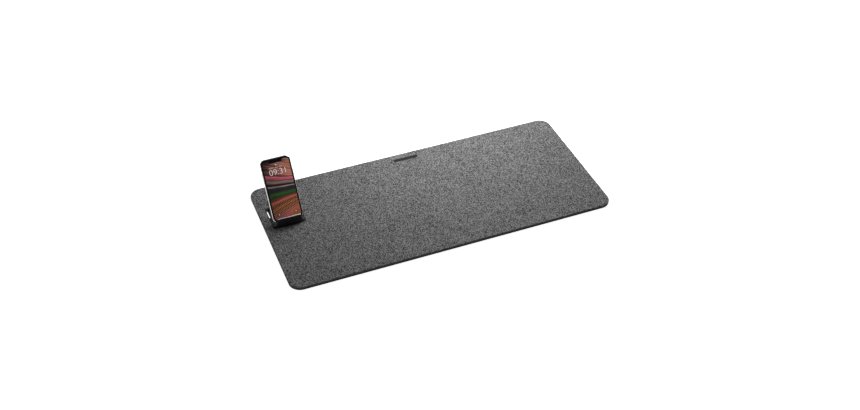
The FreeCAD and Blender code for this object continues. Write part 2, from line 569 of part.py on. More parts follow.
# inner pieces
INNER_T = "plate_low - 1.2"
keep(on_phone(box("battery_box", "-30.2", "30", "1.2", "39", "82", INNER_T)), "battery")
board = box("board_box", "11", "30", "4.1", "19.2", "78", "plate_low - 4.1")
chips = [box("shield_a", "12.5", "36", "2.2", "16", "20", "1.9"), box("shield_b", "12.5", "60", "2.6", "16", "14", "1.5"),
         box("shield_c", "12.5", "80", "1.8", "16", "22", "2.3")]
keep(on_phone(fuse("board_set", board, *chips)), "logic_board")
keep(on_phone(box("speaker_box", "9", "4.2", "1.2", "19.4", "22", INNER_T)), "loudspeaker")
keep(on_phone(box("haptic_box", "-29", "4.2", "1.2", "22", "13", INNER_T)), "haptic_motor")
keep(on_phone(cut("port_shell", box("port_block", "-5.6", "band_wall", "1.3", "11.2", "7.4", "plate_low - 1.3"),
                  box("port_void", "-port_width / 2", "band_wall - 1", "key_z - 0.25 - port_high / 2", "port_width", "7.4", "2.4"))), "charge_port")
keep(on_phone(fuse("screw_feet", *[rod("foot_screw_%d" % k, "Y", x, "0.05", "key_z", "0.75", "band_wall - 0.05")
                                   for k, x in enumerate(("-7.4", "7.4"))])), "bottom_screws")
keep(on_phone(box("tray_box", "phone_width / 2 - band_wall - 1.6", "tray_y - tray_length / 2 + 0.3", "key_z - tray_high / 2 + 0.1",
                  "band_wall + 1.57", "tray_length - 0.6", "tray_high - 0.2")), "sim_tray")
domes = []
for name, y, length, side in SLOTS[:3]:
    x = "phone_width / 2 - band_wall - 2.55" if side > 0 else "-phone_width / 2 + band_wall + 1.75"
    domes.append(box(name + "_dome", x, y + " - 2", "2.4", "0.8", "4", "plate_low - 2.4"))
keep(on_phone(fuse("dome_set", *domes)), "key_switches")


# side keys: a cap that fills its slot with play all round and a flange that
# keeps it in the case
def key(node, name, y, length, side, low, high, flange_low, flange_high):
    wide = "band_wall + key_proud + key_gap"
    cap_x = "phone_width / 2 - band_wall - key_gap" if side > 0 else "-phone_width / 2 - key_proud"
    fl_x = "phone_width / 2 - band_wall - key_gap - key_flange" if side > 0 else "-phone_width / 2 + band_wall + key_gap"
    body = new_body(name + "_key_body")
    sk = new_sketch(body, name + "_cap_line", "YZ_Plane", (y, low + " + (" + high + ") / 2", cap_x))
    draw_rect(sk, length, high, "(" + high + ") / 2 - 0.05")
    pad(body, name + "_cap", sk, wide)
    sk = new_sketch(body, name + "_flange_line", "YZ_Plane", (y, flange_low + " + (" + flange_high + ") / 2", fl_x))
    draw_rect(sk, length + " + 1.6", flange_high)
    pad(body, name + "_flange", sk, "key_flange")
    keep(on_phone(body), node)


key("power_button", "power", "power_y", "power_length", 1, "key_z - key_high / 2", "key_high", "2.1", "2.6")
key("volume_up_button", "louder", "louder_y", "volume_length", -1, "key_z - key_high / 2", "key_high", "2.1", "2.6")
key("volume_down_button", "softer", "softer_y", "volume_length", -1, "key_z - key_high / 2", "key_high", "2.1", "2.6")
key("mute_switch", "mute", "mute_y", "mute_length - 1.0", -1, "key_z - key_high / 2 + 0.05", "mute_high", "1.9", "1.7")

doc.recompute()

# --------------------------------------------------------- check and write
for obj in doc.Objects:
    bad = [word for word in obj.State if word in ("Invalid", "Error")]
    if bad:
        raise RuntimeError("%s is %s" % (obj.Name, bad))
os.makedirs("parts", exist_ok=True)
for node, obj in SUBPARTS.items():
    shape = obj.Shape
    if shape.isNull() or not shape.isValid() or not shape.Solids:
        raise RuntimeError("%s has no sound shape" % node)
for node, obj in SUBPARTS.items():
    obj.Shape.exportStep(os.path.join("parts", node + ".step"))
    b = obj.Shape.BoundBox
    print("%-20s solids %d volume %9.1f  x %.2f..%.2f y %.2f..%.2f z %.2f..%.2f" % (
        node, len(obj.Shape.Solids), obj.Shape.Volume, b.XMin, b.XMax, b.YMin, b.YMax, b.ZMin, b.ZMax))
print(len(SUBPARTS), "sub-parts")
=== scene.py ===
import json
import math
import bpy
import numpy as np
from mathutils import Matrix, Vector
from mathutils.geometry import delaunay_2d_cdt

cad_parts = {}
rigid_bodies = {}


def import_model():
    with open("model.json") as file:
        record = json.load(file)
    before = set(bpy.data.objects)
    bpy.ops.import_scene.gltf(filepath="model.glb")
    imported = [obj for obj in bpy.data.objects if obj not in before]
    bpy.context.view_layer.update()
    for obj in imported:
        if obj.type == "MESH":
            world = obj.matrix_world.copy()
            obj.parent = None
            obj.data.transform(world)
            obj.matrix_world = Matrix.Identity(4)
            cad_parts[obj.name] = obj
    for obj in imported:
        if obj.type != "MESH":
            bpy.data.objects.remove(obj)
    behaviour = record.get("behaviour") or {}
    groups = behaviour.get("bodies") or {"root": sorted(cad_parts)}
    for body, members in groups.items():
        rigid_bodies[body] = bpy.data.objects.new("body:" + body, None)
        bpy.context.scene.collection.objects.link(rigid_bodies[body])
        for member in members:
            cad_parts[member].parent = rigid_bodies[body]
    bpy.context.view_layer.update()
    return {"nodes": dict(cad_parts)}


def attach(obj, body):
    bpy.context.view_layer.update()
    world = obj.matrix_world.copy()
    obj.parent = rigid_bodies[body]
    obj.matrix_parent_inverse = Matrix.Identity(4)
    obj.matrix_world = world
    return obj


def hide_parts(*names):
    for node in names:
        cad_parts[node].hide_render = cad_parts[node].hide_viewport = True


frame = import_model()
NODE = frame["nodes"]
scene = bpy.context.scene
MM = 0.001
rng = np.random.default_rng(20)

# Camera first: a point camera, no shift, no depth of field.
FOCAL_PX, AZ, EL, ROLL = 1195.99, math.radians(21.5934), math.radians(40.1295), math.radians(-0.2892)
CAM_AT = Vector((-0.793633, -2.009967, 1.804653))


def camera():
    fw = Vector((math.sin(AZ) * math.cos(EL), math.cos(AZ) * math.cos(EL), -math.sin(EL)))
    right = Vector((math.cos(AZ), -math.sin(AZ), 0))
    down = fw.cross(right)
    c, s = math.cos(ROLL), math.sin(ROLL)
    r2, d2 = c * right - s * down, s * right + c * down
    m = Matrix((r2, -d2, -fw)).transposed().to_4x4()
    m.translation = CAM_AT
    data = bpy.data.cameras.new("view")
    data.sensor_width, data.lens = 36.0, FOCAL_PX * 36 / 860
    data.clip_start, data.clip_end = 0.05, 60
    cam = bpy.data.objects.new("view", data)
    cam.matrix_world = m
    scene.collection.objects.link(cam)
    scene.camera = cam


camera()

# ------------------------------------------------------------------ places
LEAN = math.radians(54.0)
HINGE = Vector((-0.3320, 0.0325, 0.0042))
UP = Vector((0, math.cos(LEAN), math.sin(LEAN)))
OUT = Vector((0, -math.sin(LEAN), math.cos(LEAN)))
FLAP = Matrix.Translation(HINGE) @ Matrix.Rotation(LEAN, 4, "X")
SEAT = HINGE + UP * 10.8 * MM + OUT * (3.3 + 0.35) * MM
PHONE = Matrix.Translation(SEAT) @ Matrix.Rotation(LEAN, 4, "X")

# ------------------------------------------------------------ mesh helpers


def mesh_object(name, verts, faces, mats=(), index=None, place=None, smooth=True, flat_faces=None):
    me = bpy.data.meshes.new(name)
    me.from_pydata([tuple(v) for v in verts], [], [tuple(int(i) for i in f) for f in faces])
    for m in mats:
        me.materials.append(m)
    if index is not None:
        me.polygons.foreach_set("material_index", np.asarray(index, np.int32))
    me.polygons.foreach_set("use_smooth", np.full(len(me.polygons), bool(smooth)))
    if flat_faces is not None and smooth:
        flags = np.ones(len(me.polygons), bool)
        flags[np.asarray(flat_faces, int)] = False
        me.polygons.foreach_set("use_smooth", flags)
    me.update()
    ob = bpy.data.objects.new(name, me)
    scene.collection.objects.link(ob)
    if place is not None:
        ob.matrix_world = place
    return ob


def arc(cx, cy, r, a0, a1, n):
    a = np.radians(np.linspace(a0, a1, n))
    return np.stack([cx + r * np.cos(a), cy + r * np.sin(a)], 1)


def round_rect(w, h, r, cx=0.0, cy=0.0, n=9, side=None):
    """Counter-clockwise loop; side adds points along the straight runs."""
    x, y = w / 2 - r, h / 2 - r
    parts = []
    corners = [(x, -y, -90), (x, y, 0), (-x, y, 90), (-x, -y, 180)]
    for k, (px, py, a) in enumerate(corners):
        piece = arc(px, py, r, a, a + 90, n)
        parts.append(piece)
        if side:
            nx, ny, na = corners[(k + 1) % 4]
            start = piece[-1]
            end = np.array([nx + r * math.cos(math.radians(na)), ny + r * math.sin(math.radians(na))])
            count = int(np.linalg.norm(end - start) / side)
            if count > 1:
                t = np.linspace(0, 1, count + 1)[1:-1, None]
                parts.append(start * (1 - t) + end * t)
    loop = np.concatenate(parts)
    return loop + [cx, cy]


def thick_line(points, width, n=7):
    """A closed loop round an open polyline, with round ends."""
    p = np.asarray(points, float)
    t = np.gradient(p, axis=0)
    t /= np.linalg.norm(t, axis=1)[:, None]
    nrm = np.stack([-t[:, 1], t[:, 0]], 1) * width / 2
    a0 = math.degrees(math.atan2(t[-1, 1], t[-1, 0]))
    a1 = math.degrees(math.atan2(t[0, 1], t[0, 0]))
    end = arc(p[-1, 0], p[-1, 1], width / 2, a0 - 90, a0 + 90, n)[1:-1]
    start = arc(p[0, 0], p[0, 1], width / 2, a1 + 90, a1 + 270, n)[1:-1]
    return np.concatenate([p - nrm, end, (p + nrm)[::-1], start])


def area2(loop):
    x, y = loop[:, 0], loop[:, 1]
    return float(np.dot(x, np.roll(y, -1)) - np.dot(y, np.roll(x, -1)))


def inside(points, loop):
    """Even-odd test of many points against one loop."""
    px, py = points[:, 0][:, None], points[:, 1][:, None]
    x1, y1 = loop[:, 0][None], loop[:, 1][None]
    x2, y2 = np.roll(loop[:, 0], -1)[None], np.roll(loop[:, 1], -1)[None]
    hit = (y1 > py) != (y2 > py)
    with np.errstate(divide="ignore", invalid="ignore"):
        cross = px < (x2 - x1) * (py - y1) / (y2 - y1) + x1
    return (np.sum(hit & cross, axis=1) % 2).astype(bool)


def loop_normals(loop):
    """Unit mitre normals that point out of the material, for a ccw outer or cw inner loop."""
    a = loop - np.roll(loop, 1, 0)
    b = np.roll(loop, -1, 0) - loop
    na = np.stack([a[:, 1], -a[:, 0]], 1) / np.linalg.norm(a, axis=1)[:, None]
    nb = np.stack([b[:, 1], -b[:, 0]], 1) / np.linalg.norm(b, axis=1)[:, None]
    m = na + nb
    m /= np.linalg.norm(m, axis=1)[:, None]
    return m / np.clip((m * na).sum(1), 0.5, 1)[:, None]


def lattice(x, y, pitch, seed):
    """Smooth value noise in -1..1 on a square lattice."""
    g = np.random.default_rng(seed).uniform(-1, 1, (256, 256))
    u, v = x / pitch + 97.3, y / pitch + 41.7
    i, j = np.floor(u).astype(int), np.floor(v).astype(int)
    a, b = u - i, v - j
    a, b = a * a * (3 - 2 * a), b * b * (3 - 2 * b)
    i, j = i % 256, j % 256
    i2, j2 = (i + 1) % 256, (j + 1) % 256
    return (g[i, j] * (1 - a) + g[i2, j] * a) * (1 - b) + (g[i, j2] * (1 - a) + g[i2, j2] * a) * b


def slab(name, outer, z0, z1, mats, holes=(), r_top=0.0, r_bot=0.0, steps=4, grid=None, relief=None,
         marks=(), place=None, side_mat=0, bottom_mat=0, top_mat=0, low_marks=()):
    """A closed sheet: rounded rims, both faces triangulated, optional inner points and relief.
    Sizes are in mm in the piece's own place. marks = [(loop, material index)] on the top face."""
    loops = [np.asarray(outer, float)] + [np.asarray(h, float) for h in holes]
    loops = [lp if (area2(lp) > 0) == (k == 0) else lp[::-1] for k, lp in enumerate(loops)]
    verts, faces, index = [], [], []
    flats = []

    def face(z, inset, relief_fn, mark_list, flip, base_mat):
        edges_in = [lp - loop_normals(lp) * inset for lp in loops]
        pts = list(np.concatenate(edges_in))
        edges, at = [], 0
        for lp in edges_in:
            n = len(lp)
            edges += [(at + k, at + (k + 1) % n) for k in range(n)]
            at += n
        rim = at
        for lp, _ in mark_list:
            n = len(lp)
            pts += list(lp)
            edges += [(at + k, at + (k + 1) % n) for k in range(n)]
            at += n
        if grid:
            lo, hi = edges_in[0].min(0), edges_in[0].max(0)
            gx = np.arange(lo[0] + grid / 2, hi[0], grid)
            gy = np.arange(lo[1] + grid / 2, hi[1], grid)
            g = np.stack(np.meshgrid(gx, gy), -1).reshape(-1, 2)
            jig = np.random.default_rng(len(g)).uniform(-0.18, 0.18, g.shape) * grid
            g = g + jig
            keep = inside(g, edges_in[0] - loop_normals(edges_in[0]) * grid * 0.45)
            for lp in edges_in[1:]:
                keep &= ~inside(g, lp + loop_normals(lp[::-1])[::-1] * grid * 0.0)
            pts += list(g[keep])
        out_v, _, out_f, origin, _, _ = delaunay_2d_cdt([Vector(p) for p in pts], edges, [], 0, 1e-7, True)
        co = np.array([tuple(v) for v in out_v])
        tri = np.array([f for f in out_f if len(f) == 3])
        mid = co[tri].mean(1)
        keep = inside(mid, edges_in[0])
        for lp in edges_in[1:]:
            keep &= ~inside(mid, lp)
        tri, mid = tri[keep], mid[keep]
        d = co[tri]
        turn = (d[:, 1, 0] - d[:, 0, 0]) * (d[:, 2, 1] - d[:, 0, 1]) - (d[:, 2, 0] - d[:, 0, 0]) * (d[:, 1, 1] - d[:, 0, 1])
        tri[turn < 0] = tri[turn < 0][:, ::-1]
        if flip:
            tri = tri[:, ::-1]
        mat = np.full(len(tri), base_mat)
        for lp, m in mark_list:
            mat[inside(mid, lp)] = m
        h = np.full(len(co), z, float)
        where = {}
        for new, olds in enumerate(origin):
            for o in olds:
                where[o] = new
        if relief_fn is not None:
            bump = relief_fn(co[:, 0], co[:, 1])
            bump[[where[k] for k in range(rim)]] = 0
            h = h + bump
        base = len(verts)
        verts.extend(np.column_stack([co, h]))
        start = len(faces)
        faces.extend(tri + base)
        index.extend(mat)
        if relief_fn is None:
            flats.extend(range(start, len(faces)))
        return [base + where[k] for k in range(rim)]

    top = face(z1, r_top, relief, list(marks), False, top_mat)
    bottom = face(z0, r_bot, None, list(low_marks), True, bottom_mat)
    at = 0
    for lp in loops:
        n = len(lp)
        nrm = loop_normals(lp)
        rings = [np.array(top[at:at + n])]
        profile = []
        if r_top > 0:
            profile += [(r_top * (1 - math.sin(a)), z1 - r_top * (1 - math.cos(a)))
                        for a in np.radians(np.linspace(0, 90, steps + 1)[1:])]
        if r_bot > 0:
            low = [(r_bot * (1 - math.sin(a)), z0 + r_bot * (1 - math.cos(a)))
                   for a in np.radians(np.linspace(0, 90, steps + 1)[1:])]
            profile += low[::-1]
        for inset, z in profile:
            base = len(verts)
            verts.extend(np.column_stack([lp - nrm * inset, np.full(n, z)]))
            rings.append(np.arange(base, base + n))
        rings.append(np.array(bottom[at:at + n]))
        for a, b in zip(rings[:-1], rings[1:]):
            for k in range(n):
                k2 = (k + 1) % n
                faces.append((a[k], b[k], b[k2], a[k2]))
                index.append(side_mat)
        at += n
    ob = mesh_object(name, np.array(verts) * MM, faces, mats, index, place, True, None if r_top or r_bot else flats)
    if not (r_top or r_bot):
        ob.data.polygons.foreach_set("use_smooth", np.zeros(len(ob.data.polygons), bool))
    else:
        sharpen(ob, 40)
    return ob


def sharpen(ob, degrees):
    """Marks edges sharper than the angle, so that smooth shading stops there."""
    import bmesh
    bm = bmesh.new()
    bm.from_mesh(ob.data)
    for e in bm.edges:
        e.smooth = not (len(e.link_faces) == 2 and e.calc_face_angle(0) > math.radians(degrees))
    bm.to_mesh(ob.data)
    bm.free()


def turned(name, profile, mats, place=None, n=40, index=None, axis="Z"):
    """A lathe: profile = [(radius, height)] in mm from the bottom centre to the top centre."""
    verts, faces, idx = [], [], []
    rows = []
    for r, z in profile:
        if r < 1e-6:
            rows.append([len(verts)])
            verts.append((0, 0, z))
        else:
            base = len(verts)
            a = np.linspace(0, 2 * math.pi, n, endpoint=False)
            verts.extend(np.column_stack([r * np.cos(a), r * np.sin(a), np.full(n, z)]))
            rows.append(list(range(base, base + n)))
    for k, (a, b) in enumerate(zip(rows[:-1], rows[1:])):
        for i in range(n):
            j = (i + 1) % n
            if len(a) == 1:
                faces.append((a[0], b[j], b[i]))
            elif len(b) == 1:
                faces.append((a[i], a[j], b[0]))
            else:
                faces.append((a[i], a[j], b[j], b[i]))
            idx.append(index[k] if index else 0)
    ob = mesh_object(name, np.array([tuple(v) for v in verts]) * MM, faces, mats, idx, place)
    sharpen(ob, 35)
    return ob


def join(name, obs):
    """Several pieces into one object with one mesh."""
    for o in bpy.context.view_layer.objects:
        o.select_set(False)
    for o in obs:
        o.select_set(True)
    bpy.context.view_layer.objects.active = obs[0]
    bpy.ops.object.join()
    obs[0].name = name
    obs[0].data.name = name
    return obs[0]


# -------------------------------------------------------- material helpers


class Paint:
    """A procedural material: a Principled shader and short calls for the nodes that feed it."""

    def __init__(self, name, **sockets):
        self.mat = bpy.data.materials.new(name)
        self.mat.use_nodes = True
        self.nt = self.mat.node_tree
        self.nt.nodes.clear()
        out = self.nt.nodes.new("ShaderNodeOutputMaterial")
        self.bsdf = self.nt.nodes.new("ShaderNodeBsdfPrincipled")
        self.nt.links.new(self.bsdf.outputs[0], out.inputs[0])
        for key, value in sockets.items():
            self.put(key.replace("_", " "), value)

    def put(self, socket, value):
        target = self.bsdf.inputs[socket]
        if isinstance(value, bpy.types.NodeSocket):
            self.nt.links.new(value, target)
        elif hasattr(value, "__len__") and len(value) == 3:
            target.default_value = (*value, 1) if target.type == "RGBA" else value
        else:
            target.default_value = value
        return self

    def node(self, kind, out=0, props=None, **inputs):
        n = self.nt.nodes.new("ShaderNode" + kind)
        for k, v in (props or {}).items():
            setattr(n, k, v)
        for k, v in inputs.items():
            target = n.inputs[int(k[1:])] if k[0] == "i" and k[1:].isdigit() else n.inputs[k.replace("_", " ")]
            if isinstance(v, bpy.types.NodeSocket):
                self.nt.links.new(v, target)
            elif hasattr(v, "__len__") and len(v) == 3 and target.type == "RGBA":
                target.default_value = (*v, 1)
            else:
                target.default_value = v
        return n.outputs[out]

    def coords(self, place=None):
        """The piece's own coordinates in mm, in the phone's or flap's place if given."""
        c = self.node("TexCoord", out=3)
        if place is not None:
            inv = place.inverted()
            c = self.node("Mapping", Vector=c, Location=inv.translation, Rotation=inv.to_euler(),
                          props={"vector_type": "POINT"})
        return self.node("VectorMath", i0=c, i1=(1000, 1000, 1000), props={"operation": "MULTIPLY"})

    def scaled(self, vec, scale, turn=0.0, shift=(0, 0, 0)):
        return self.node("Mapping", Vector=vec, Scale=scale, Rotation=(0, 0, turn), Location=shift,
                         props={"vector_type": "POINT"})

    def math(self, op, a, b=None, c=None, clamp=False):
        args = {"i0": a}
        if b is not None:
            args["i1"] = b
        if c is not None:
            args["i2"] = c
        return self.node("Math", props={"operation": op, "use_clamp": clamp}, **args)

    def noise(self, vec, scale, detail=2.0, rough=0.55, warp=0.0):
        return self.node("TexNoise", Vector=vec, Scale=scale, Detail=detail, Roughness=rough, Distortion=warp)

    def fit(self, value, a, b, lo=0.0, hi=1.0, smooth=False):
        return self.node("MapRange", Value=value, **{"From_Min": a, "From_Max": b, "To_Min": lo, "To_Max": hi},
                         props={"interpolation_type": "SMOOTHSTEP" if smooth else "LINEAR", "clamp": True})

    def mix(self, fac, a, b, mode="MIX"):
        n = self.nt.nodes.new("ShaderNodeMix")
        n.data_type, n.blend_type = "RGBA", mode
        for sock, v in ((n.inputs[0], fac), (n.inputs[6], a), (n.inputs[7], b)):
            if isinstance(v, bpy.types.NodeSocket):
                self.nt.links.new(v, sock)
            elif hasattr(v, "__len__"):
                sock.default_value = (*v[:3], 1)
            else:
                sock.default_value = v
        return n.outputs[2]

    def ramp(self, value, stops, mode="LINEAR"):
        n = self.nt.nodes.new("ShaderNodeValToRGB")
        n.color_ramp.interpolation = mode
        while len(n.color_ramp.elements) < len(stops):
            n.color_ramp.elements.new(0.5)
        for e, (pos, col) in zip(n.color_ramp.elements, stops):
            e.position = pos
        for e, (pos, col) in zip(n.color_ramp.elements, stops):
            e.color = (*col, 1) if hasattr(col, "__len__") else (col, col, col, 1)
        self.nt.links.new(value, n.inputs[0])
        return n.outputs[0]

    def bump(self, height, strength, distance, under=None):
        args = {"Height": height, "Strength": strength, "Distance": distance}
        if under is not None:
            args["Normal"] = under
        return self.node("Bump", **args)


def lin(*rgb):
    return tuple((c / 255 / 12.92) if c <= 10 else ((c / 255 + 0.055) / 1.055) ** 2.4 for c in rgb)


def xyz(p, vec):
    n = p.nt.nodes.new("ShaderNodeSeparateXYZ")
    p.nt.links.new(vec, n.inputs[0])
    return n.outputs[0], n.outputs[1], n.outputs[2]


def combine(p, x, y, z=0.0):
    return p.node("CombineXYZ", i0=x, i1=y, i2=z)


# ---------------------------------------------------------------- materials


def make_felt(name, dark=(0.012, 0.012, 0.0125), mid=(0.085, 0.085, 0.087), light=(0.36, 0.36, 0.365), place=None, low=None):
    p = Paint(name, Roughness=0.95, IOR=1.4, Sheen_Weight=0.12, Sheen_Roughness=0.6)
    p.put("Specular IOR Level", 0.12)
    c = p.coords(place)
    wool = p.noise(c, 0.56, 2.0, 0.6, 0.4)
    tuft = p.noise(c, 0.11, 2.0, 0.5, 0.3)
    cloud = p.noise(c, 0.022, 2.0, 0.5)
    lines = []
    for k, turn in enumerate((0.25, 1.25, 2.35, 2.95)):
        s = p.scaled(c, (0.16, 1.15, 0.6), turn, (17.0 * k, 5.0 * k, 3.0))
        n = p.noise(s, 1.0, 1.0, 0.5, 0.8)
        lines.append(p.math("SUBTRACT", 1.0, p.math("MULTIPLY", p.math("ABSOLUTE", p.math("SUBTRACT", n, 0.5)), 14.0, clamp=True)))
    strands = p.math("MAXIMUM", p.math("MAXIMUM", lines[0], lines[1]), p.math("MAXIMUM", lines[2], lines[3]))
    where = p.fit(p.noise(c, 0.42, 1.0, 0.5), 0.50, 0.62)
    pale = p.math("MULTIPLY", strands, where)
    tone = p.math("ADD", p.math("MULTIPLY", wool, 0.84), p.math("ADD", p.math("MULTIPLY", tuft, 0.10), p.math("MULTIPLY", cloud, 0.06)))
    base = p.ramp(tone, [(0.445, dark), (0.495, mid), (0.553, light)])
    specks = p.fit(p.node("TexVoronoi", Vector=c, Scale=0.34, Randomness=1.0, props={"feature": "F1"}), 0.16, 0.30, 1.0, 0.0)
    col = p.mix(p.math("MULTIPLY", pale, 0.55), base, (0.52, 0.52, 0.525))
    col = p.mix(p.math("MULTIPLY", specks, 0.75), col, (0.50, 0.50, 0.505))
    pits = p.fit(p.node("TexVoronoi", Vector=p.scaled(c, (1, 1, 1), 0.7, (40, 11, 0)), Scale=0.30, Randomness=1.0), 0.24, 0.40, 1.0, 0.0)
    col = p.mix(p.math("MULTIPLY", pits, 0.85), col, (0.008, 0.008, 0.008))
    # painted shade: the felt grows near black from the upper given height down to the lower one, over its rounded rim
    # and cut sides and a little in the lowest dips of the top
    if low is not None:
        x, y, z = xyz(p, c)
        edge = p.fit(z, low[0], low[1], 1.0, 0.0, True)
        col = p.mix(edge, col, p.mix(wool, (0.006, 0.006, 0.006), (0.035, 0.035, 0.036)))
    p.put("Base Color", col)
    fuzz = p.noise(c, 1.6, 2.0, 0.6, 0.4)
    h = p.math("ADD", p.math("MULTIPLY", strands, 0.45), p.math("ADD", p.math("MULTIPLY", wool, 1.0), p.math("MULTIPLY", fuzz, 0.35)))
    p.put("Normal", p.bump(h, 0.55, 0.0009))
    return p.mat


def make_rubber(name, col=(0.017, 0.017, 0.018), place=None, dots=None, rough=0.72):
    p = Paint(name)
    p.put("Specular IOR Level", 0.35)
    c = p.coords(place)
    dust = p.noise(c, 0.05, 4.0, 0.6)
    grain = p.noise(c, 2.2, 3.0, 0.6)
    p.put("Base Color", p.mix(p.fit(dust, 0.35, 0.75), col, tuple(1.9 * v for v in col)))
    p.put("Roughness", p.fit(grain, 0.3, 0.7, rough - 0.08, rough + 0.1))
    h = p.math("MULTIPLY", grain, 0.25)
    if dots:
        x, y, z = xyz(p, c)
        a = p.math("SINE", p.math("MULTIPLY", p.math("ADD", x, y), 2 * math.pi / dots))
        b = p.math("SINE", p.math("MULTIPLY", p.math("SUBTRACT", x, y), 2 * math.pi / dots))
        h = p.math("ADD", h, p.fit(p.math("MULTIPLY", a, b), 0.1, 0.6, 0.0, 1.0, True))
    p.put("Normal", p.bump(h, 0.5, 0.0004))
    return p.mat


def make_plastic(name, col, rough=0.5, grain=1.5, place=None, spec=0.4):
    p = Paint(name)
    p.put("Specular IOR Level", spec)
    c = p.coords(place)
    g = p.noise(c, grain, 3.0, 0.6)
    wide = p.noise(c, 0.06, 3.0, 0.55)
    p.put("Base Color", p.mix(p.fit(wide, 0.3, 0.7), tuple(0.85 * v for v in col), tuple(1.2 * v for v in col)))
    p.put("Roughness", p.fit(wide, 0.3, 0.7, rough - 0.06, rough + 0.08))
    p.put("Normal", p.bump(g, 0.35, 0.0002))
    return p.mat


def make_metal(name, col, rough=0.28, along=(0.03, 2.4, 2.4), place=None, worn=0.0, depth=0.00006):
    p = Paint(name, Metallic=1.0)
    c = p.coords(place)
    line = p.noise(p.scaled(c, along), 1.0, 3.0, 0.6)
    wide = p.noise(c, 0.05, 3.0, 0.5)
    base = p.mix(p.fit(line, 0.3, 0.7), tuple(0.86 * v for v in col), tuple(min(1.0, 1.08 * v) for v in col))
    if worn:
        base = p.mix(p.math("MULTIPLY", p.fit(wide, 0.45, 0.7), worn), base, tuple(0.6 * v for v in col))
    p.put("Base Color", base)
    p.put("Roughness", p.fit(p.math("ADD", p.math("MULTIPLY", line, 0.6), p.math("MULTIPLY", wide, 0.4)), 0.3, 0.7, rough - 0.06, rough + 0.08))
    p.put("Normal", p.bump(line, 0.25, depth))
    return p.mat


def make_fibre_board(name):
    p = Paint(name, Roughness=0.9)
    p.put("Specular IOR Level", 0.15)
    c = p.coords()
    layer = p.noise(p.scaled(c, (0.12, 0.12, 3.0)), 1.0, 4.0, 0.65)
    chips = p.noise(c, 0.9, 3.0, 0.6)
    tone = p.math("ADD", p.math("MULTIPLY", layer, 0.6), p.math("MULTIPLY", chips, 0.4))
    p.put("Base Color", p.ramp(tone, [(0.35, (0.006, 0.006, 0.006)), (0.5, (0.014, 0.014, 0.014)), (0.7, (0.034, 0.033, 0.032))]))
    p.put("Normal", p.bump(tone, 0.5, 0.0003))
    return p.mat


def make_black_coat(name):
    """Satin black coat: orange-peel fine grain, faint rubs."""
    p = Paint(name)
    p.put("Specular IOR Level", 0.45)
    c = p.coords()
    peel = p.noise(c, 1.1, 2.0, 0.5)
    rub = p.noise(p.scaled(c, (0.5, 0.08, 0.08), 0.2), 1.0, 4.0, 0.65)
    x, y, z = xyz(p, c)
    p.put("Base Color", p.mix(p.fit(rub, 0.52, 0.75), (0.0055, 0.0055, 0.006), (0.016, 0.016, 0.017)))
    p.put("Roughness", p.fit(rub, 0.35, 0.7, 0.34, 0.5))
    p.put("Normal", p.bump(peel, 0.25, 0.00012))
    return p.mat


def make_tag(name):
    """Woven black tape: fine twill with a raised plain border."""
    p = Paint(name, Roughness=0.7)
    p.put("Specular IOR Level", 0.3)
    c = p.coords()
    x, y, z = xyz(p, c)
    a = p.math("SINE", p.math("MULTIPLY", p.math("ADD", x, y), 2 * math.pi / 0.9))
    b = p.math("SINE", p.math("MULTIPLY", p.math("SUBTRACT", x, y), 2 * math.pi / 0.9))
    weave = p.math("ADD", p.math("MULTIPLY", a, 0.5), p.math("MULTIPLY", p.math("MAXIMUM", a, b), 0.5))
    wide = p.noise(c, 0.25, 3.0, 0.6)
    col = p.mix(p.fit(weave, -0.6, 1.0), (0.004, 0.004, 0.004), (0.016, 0.016, 0.017))
    p.put("Base Color", p.mix(p.fit(wide, 0.4, 0.75, 0.0, 0.5), col, (0.03, 0.03, 0.031)))
    p.put("Normal", p.bump(weave, 0.5, 0.00012))
    return p.mat


def make_band(name, place):
    """Bright band: satin grain along the run, thin dark breaks near the corners."""
    p = Paint(name, Metallic=1.0)
    c = p.coords(place)
    x, y, z = xyz(p, c)
    line = p.noise(p.scaled(c, (0.5, 0.05, 6.0)), 1.0, 3.0, 0.6)
    wide = p.noise(c, 0.04, 3.0, 0.5)
    base = p.mix(p.fit(line, 0.3, 0.7), (0.74, 0.74, 0.735), (0.88, 0.88, 0.87))
    breaks = None
    for centre in (14.2, 132.5):
        d = p.math("ABSOLUTE", p.math("SUBTRACT", y, centre))
        m = p.fit(d, 0.45, 0.55, 1.0, 0.0)
        breaks = m if breaks is None else p.math("MAXIMUM", breaks, m)
    d = p.math("ABSOLUTE", p.math("SUBTRACT", p.math("ABSOLUTE", x), 22.6))
    breaks = p.math("MAXIMUM", breaks, p.fit(d, 0.45, 0.55, 1.0, 0.0))
    p.put("Base Color", p.mix(breaks, base, (0.20, 0.20, 0.20)))
    p.put("Metallic", p.math("SUBTRACT", 1.0, breaks))
    p.put("Roughness", p.fit(p.math("ADD", p.math("MULTIPLY", line, 0.5), p.math("MULTIPLY", wide, 0.5)), 0.3, 0.7, 0.16, 0.30))
    p.put("Normal", p.bump(line, 0.15, 0.00004))
    return p.mat


def make_black_glass(name, place=None, smudge=0.5):
    p = Paint(name, IOR=1.5)
    p.put("Specular IOR Level", 0.3)
    c = p.coords(place)
    wipe = p.noise(p.scaled(c, (0.05, 0.025, 0.05), 0.5), 1.0, 4.0, 0.65, 0.4)
    spots = p.noise(c, 0.6, 4.0, 0.7)
    p.put("Base Color", p.mix(p.fit(spots, 0.55, 0.8), (0.0035, 0.0035, 0.004), (0.008, 0.008, 0.009)))
    p.put("Roughness", p.fit(wipe, 0.4, 0.7, 0.05, 0.05 + 0.16 * smudge))
    return p.mat


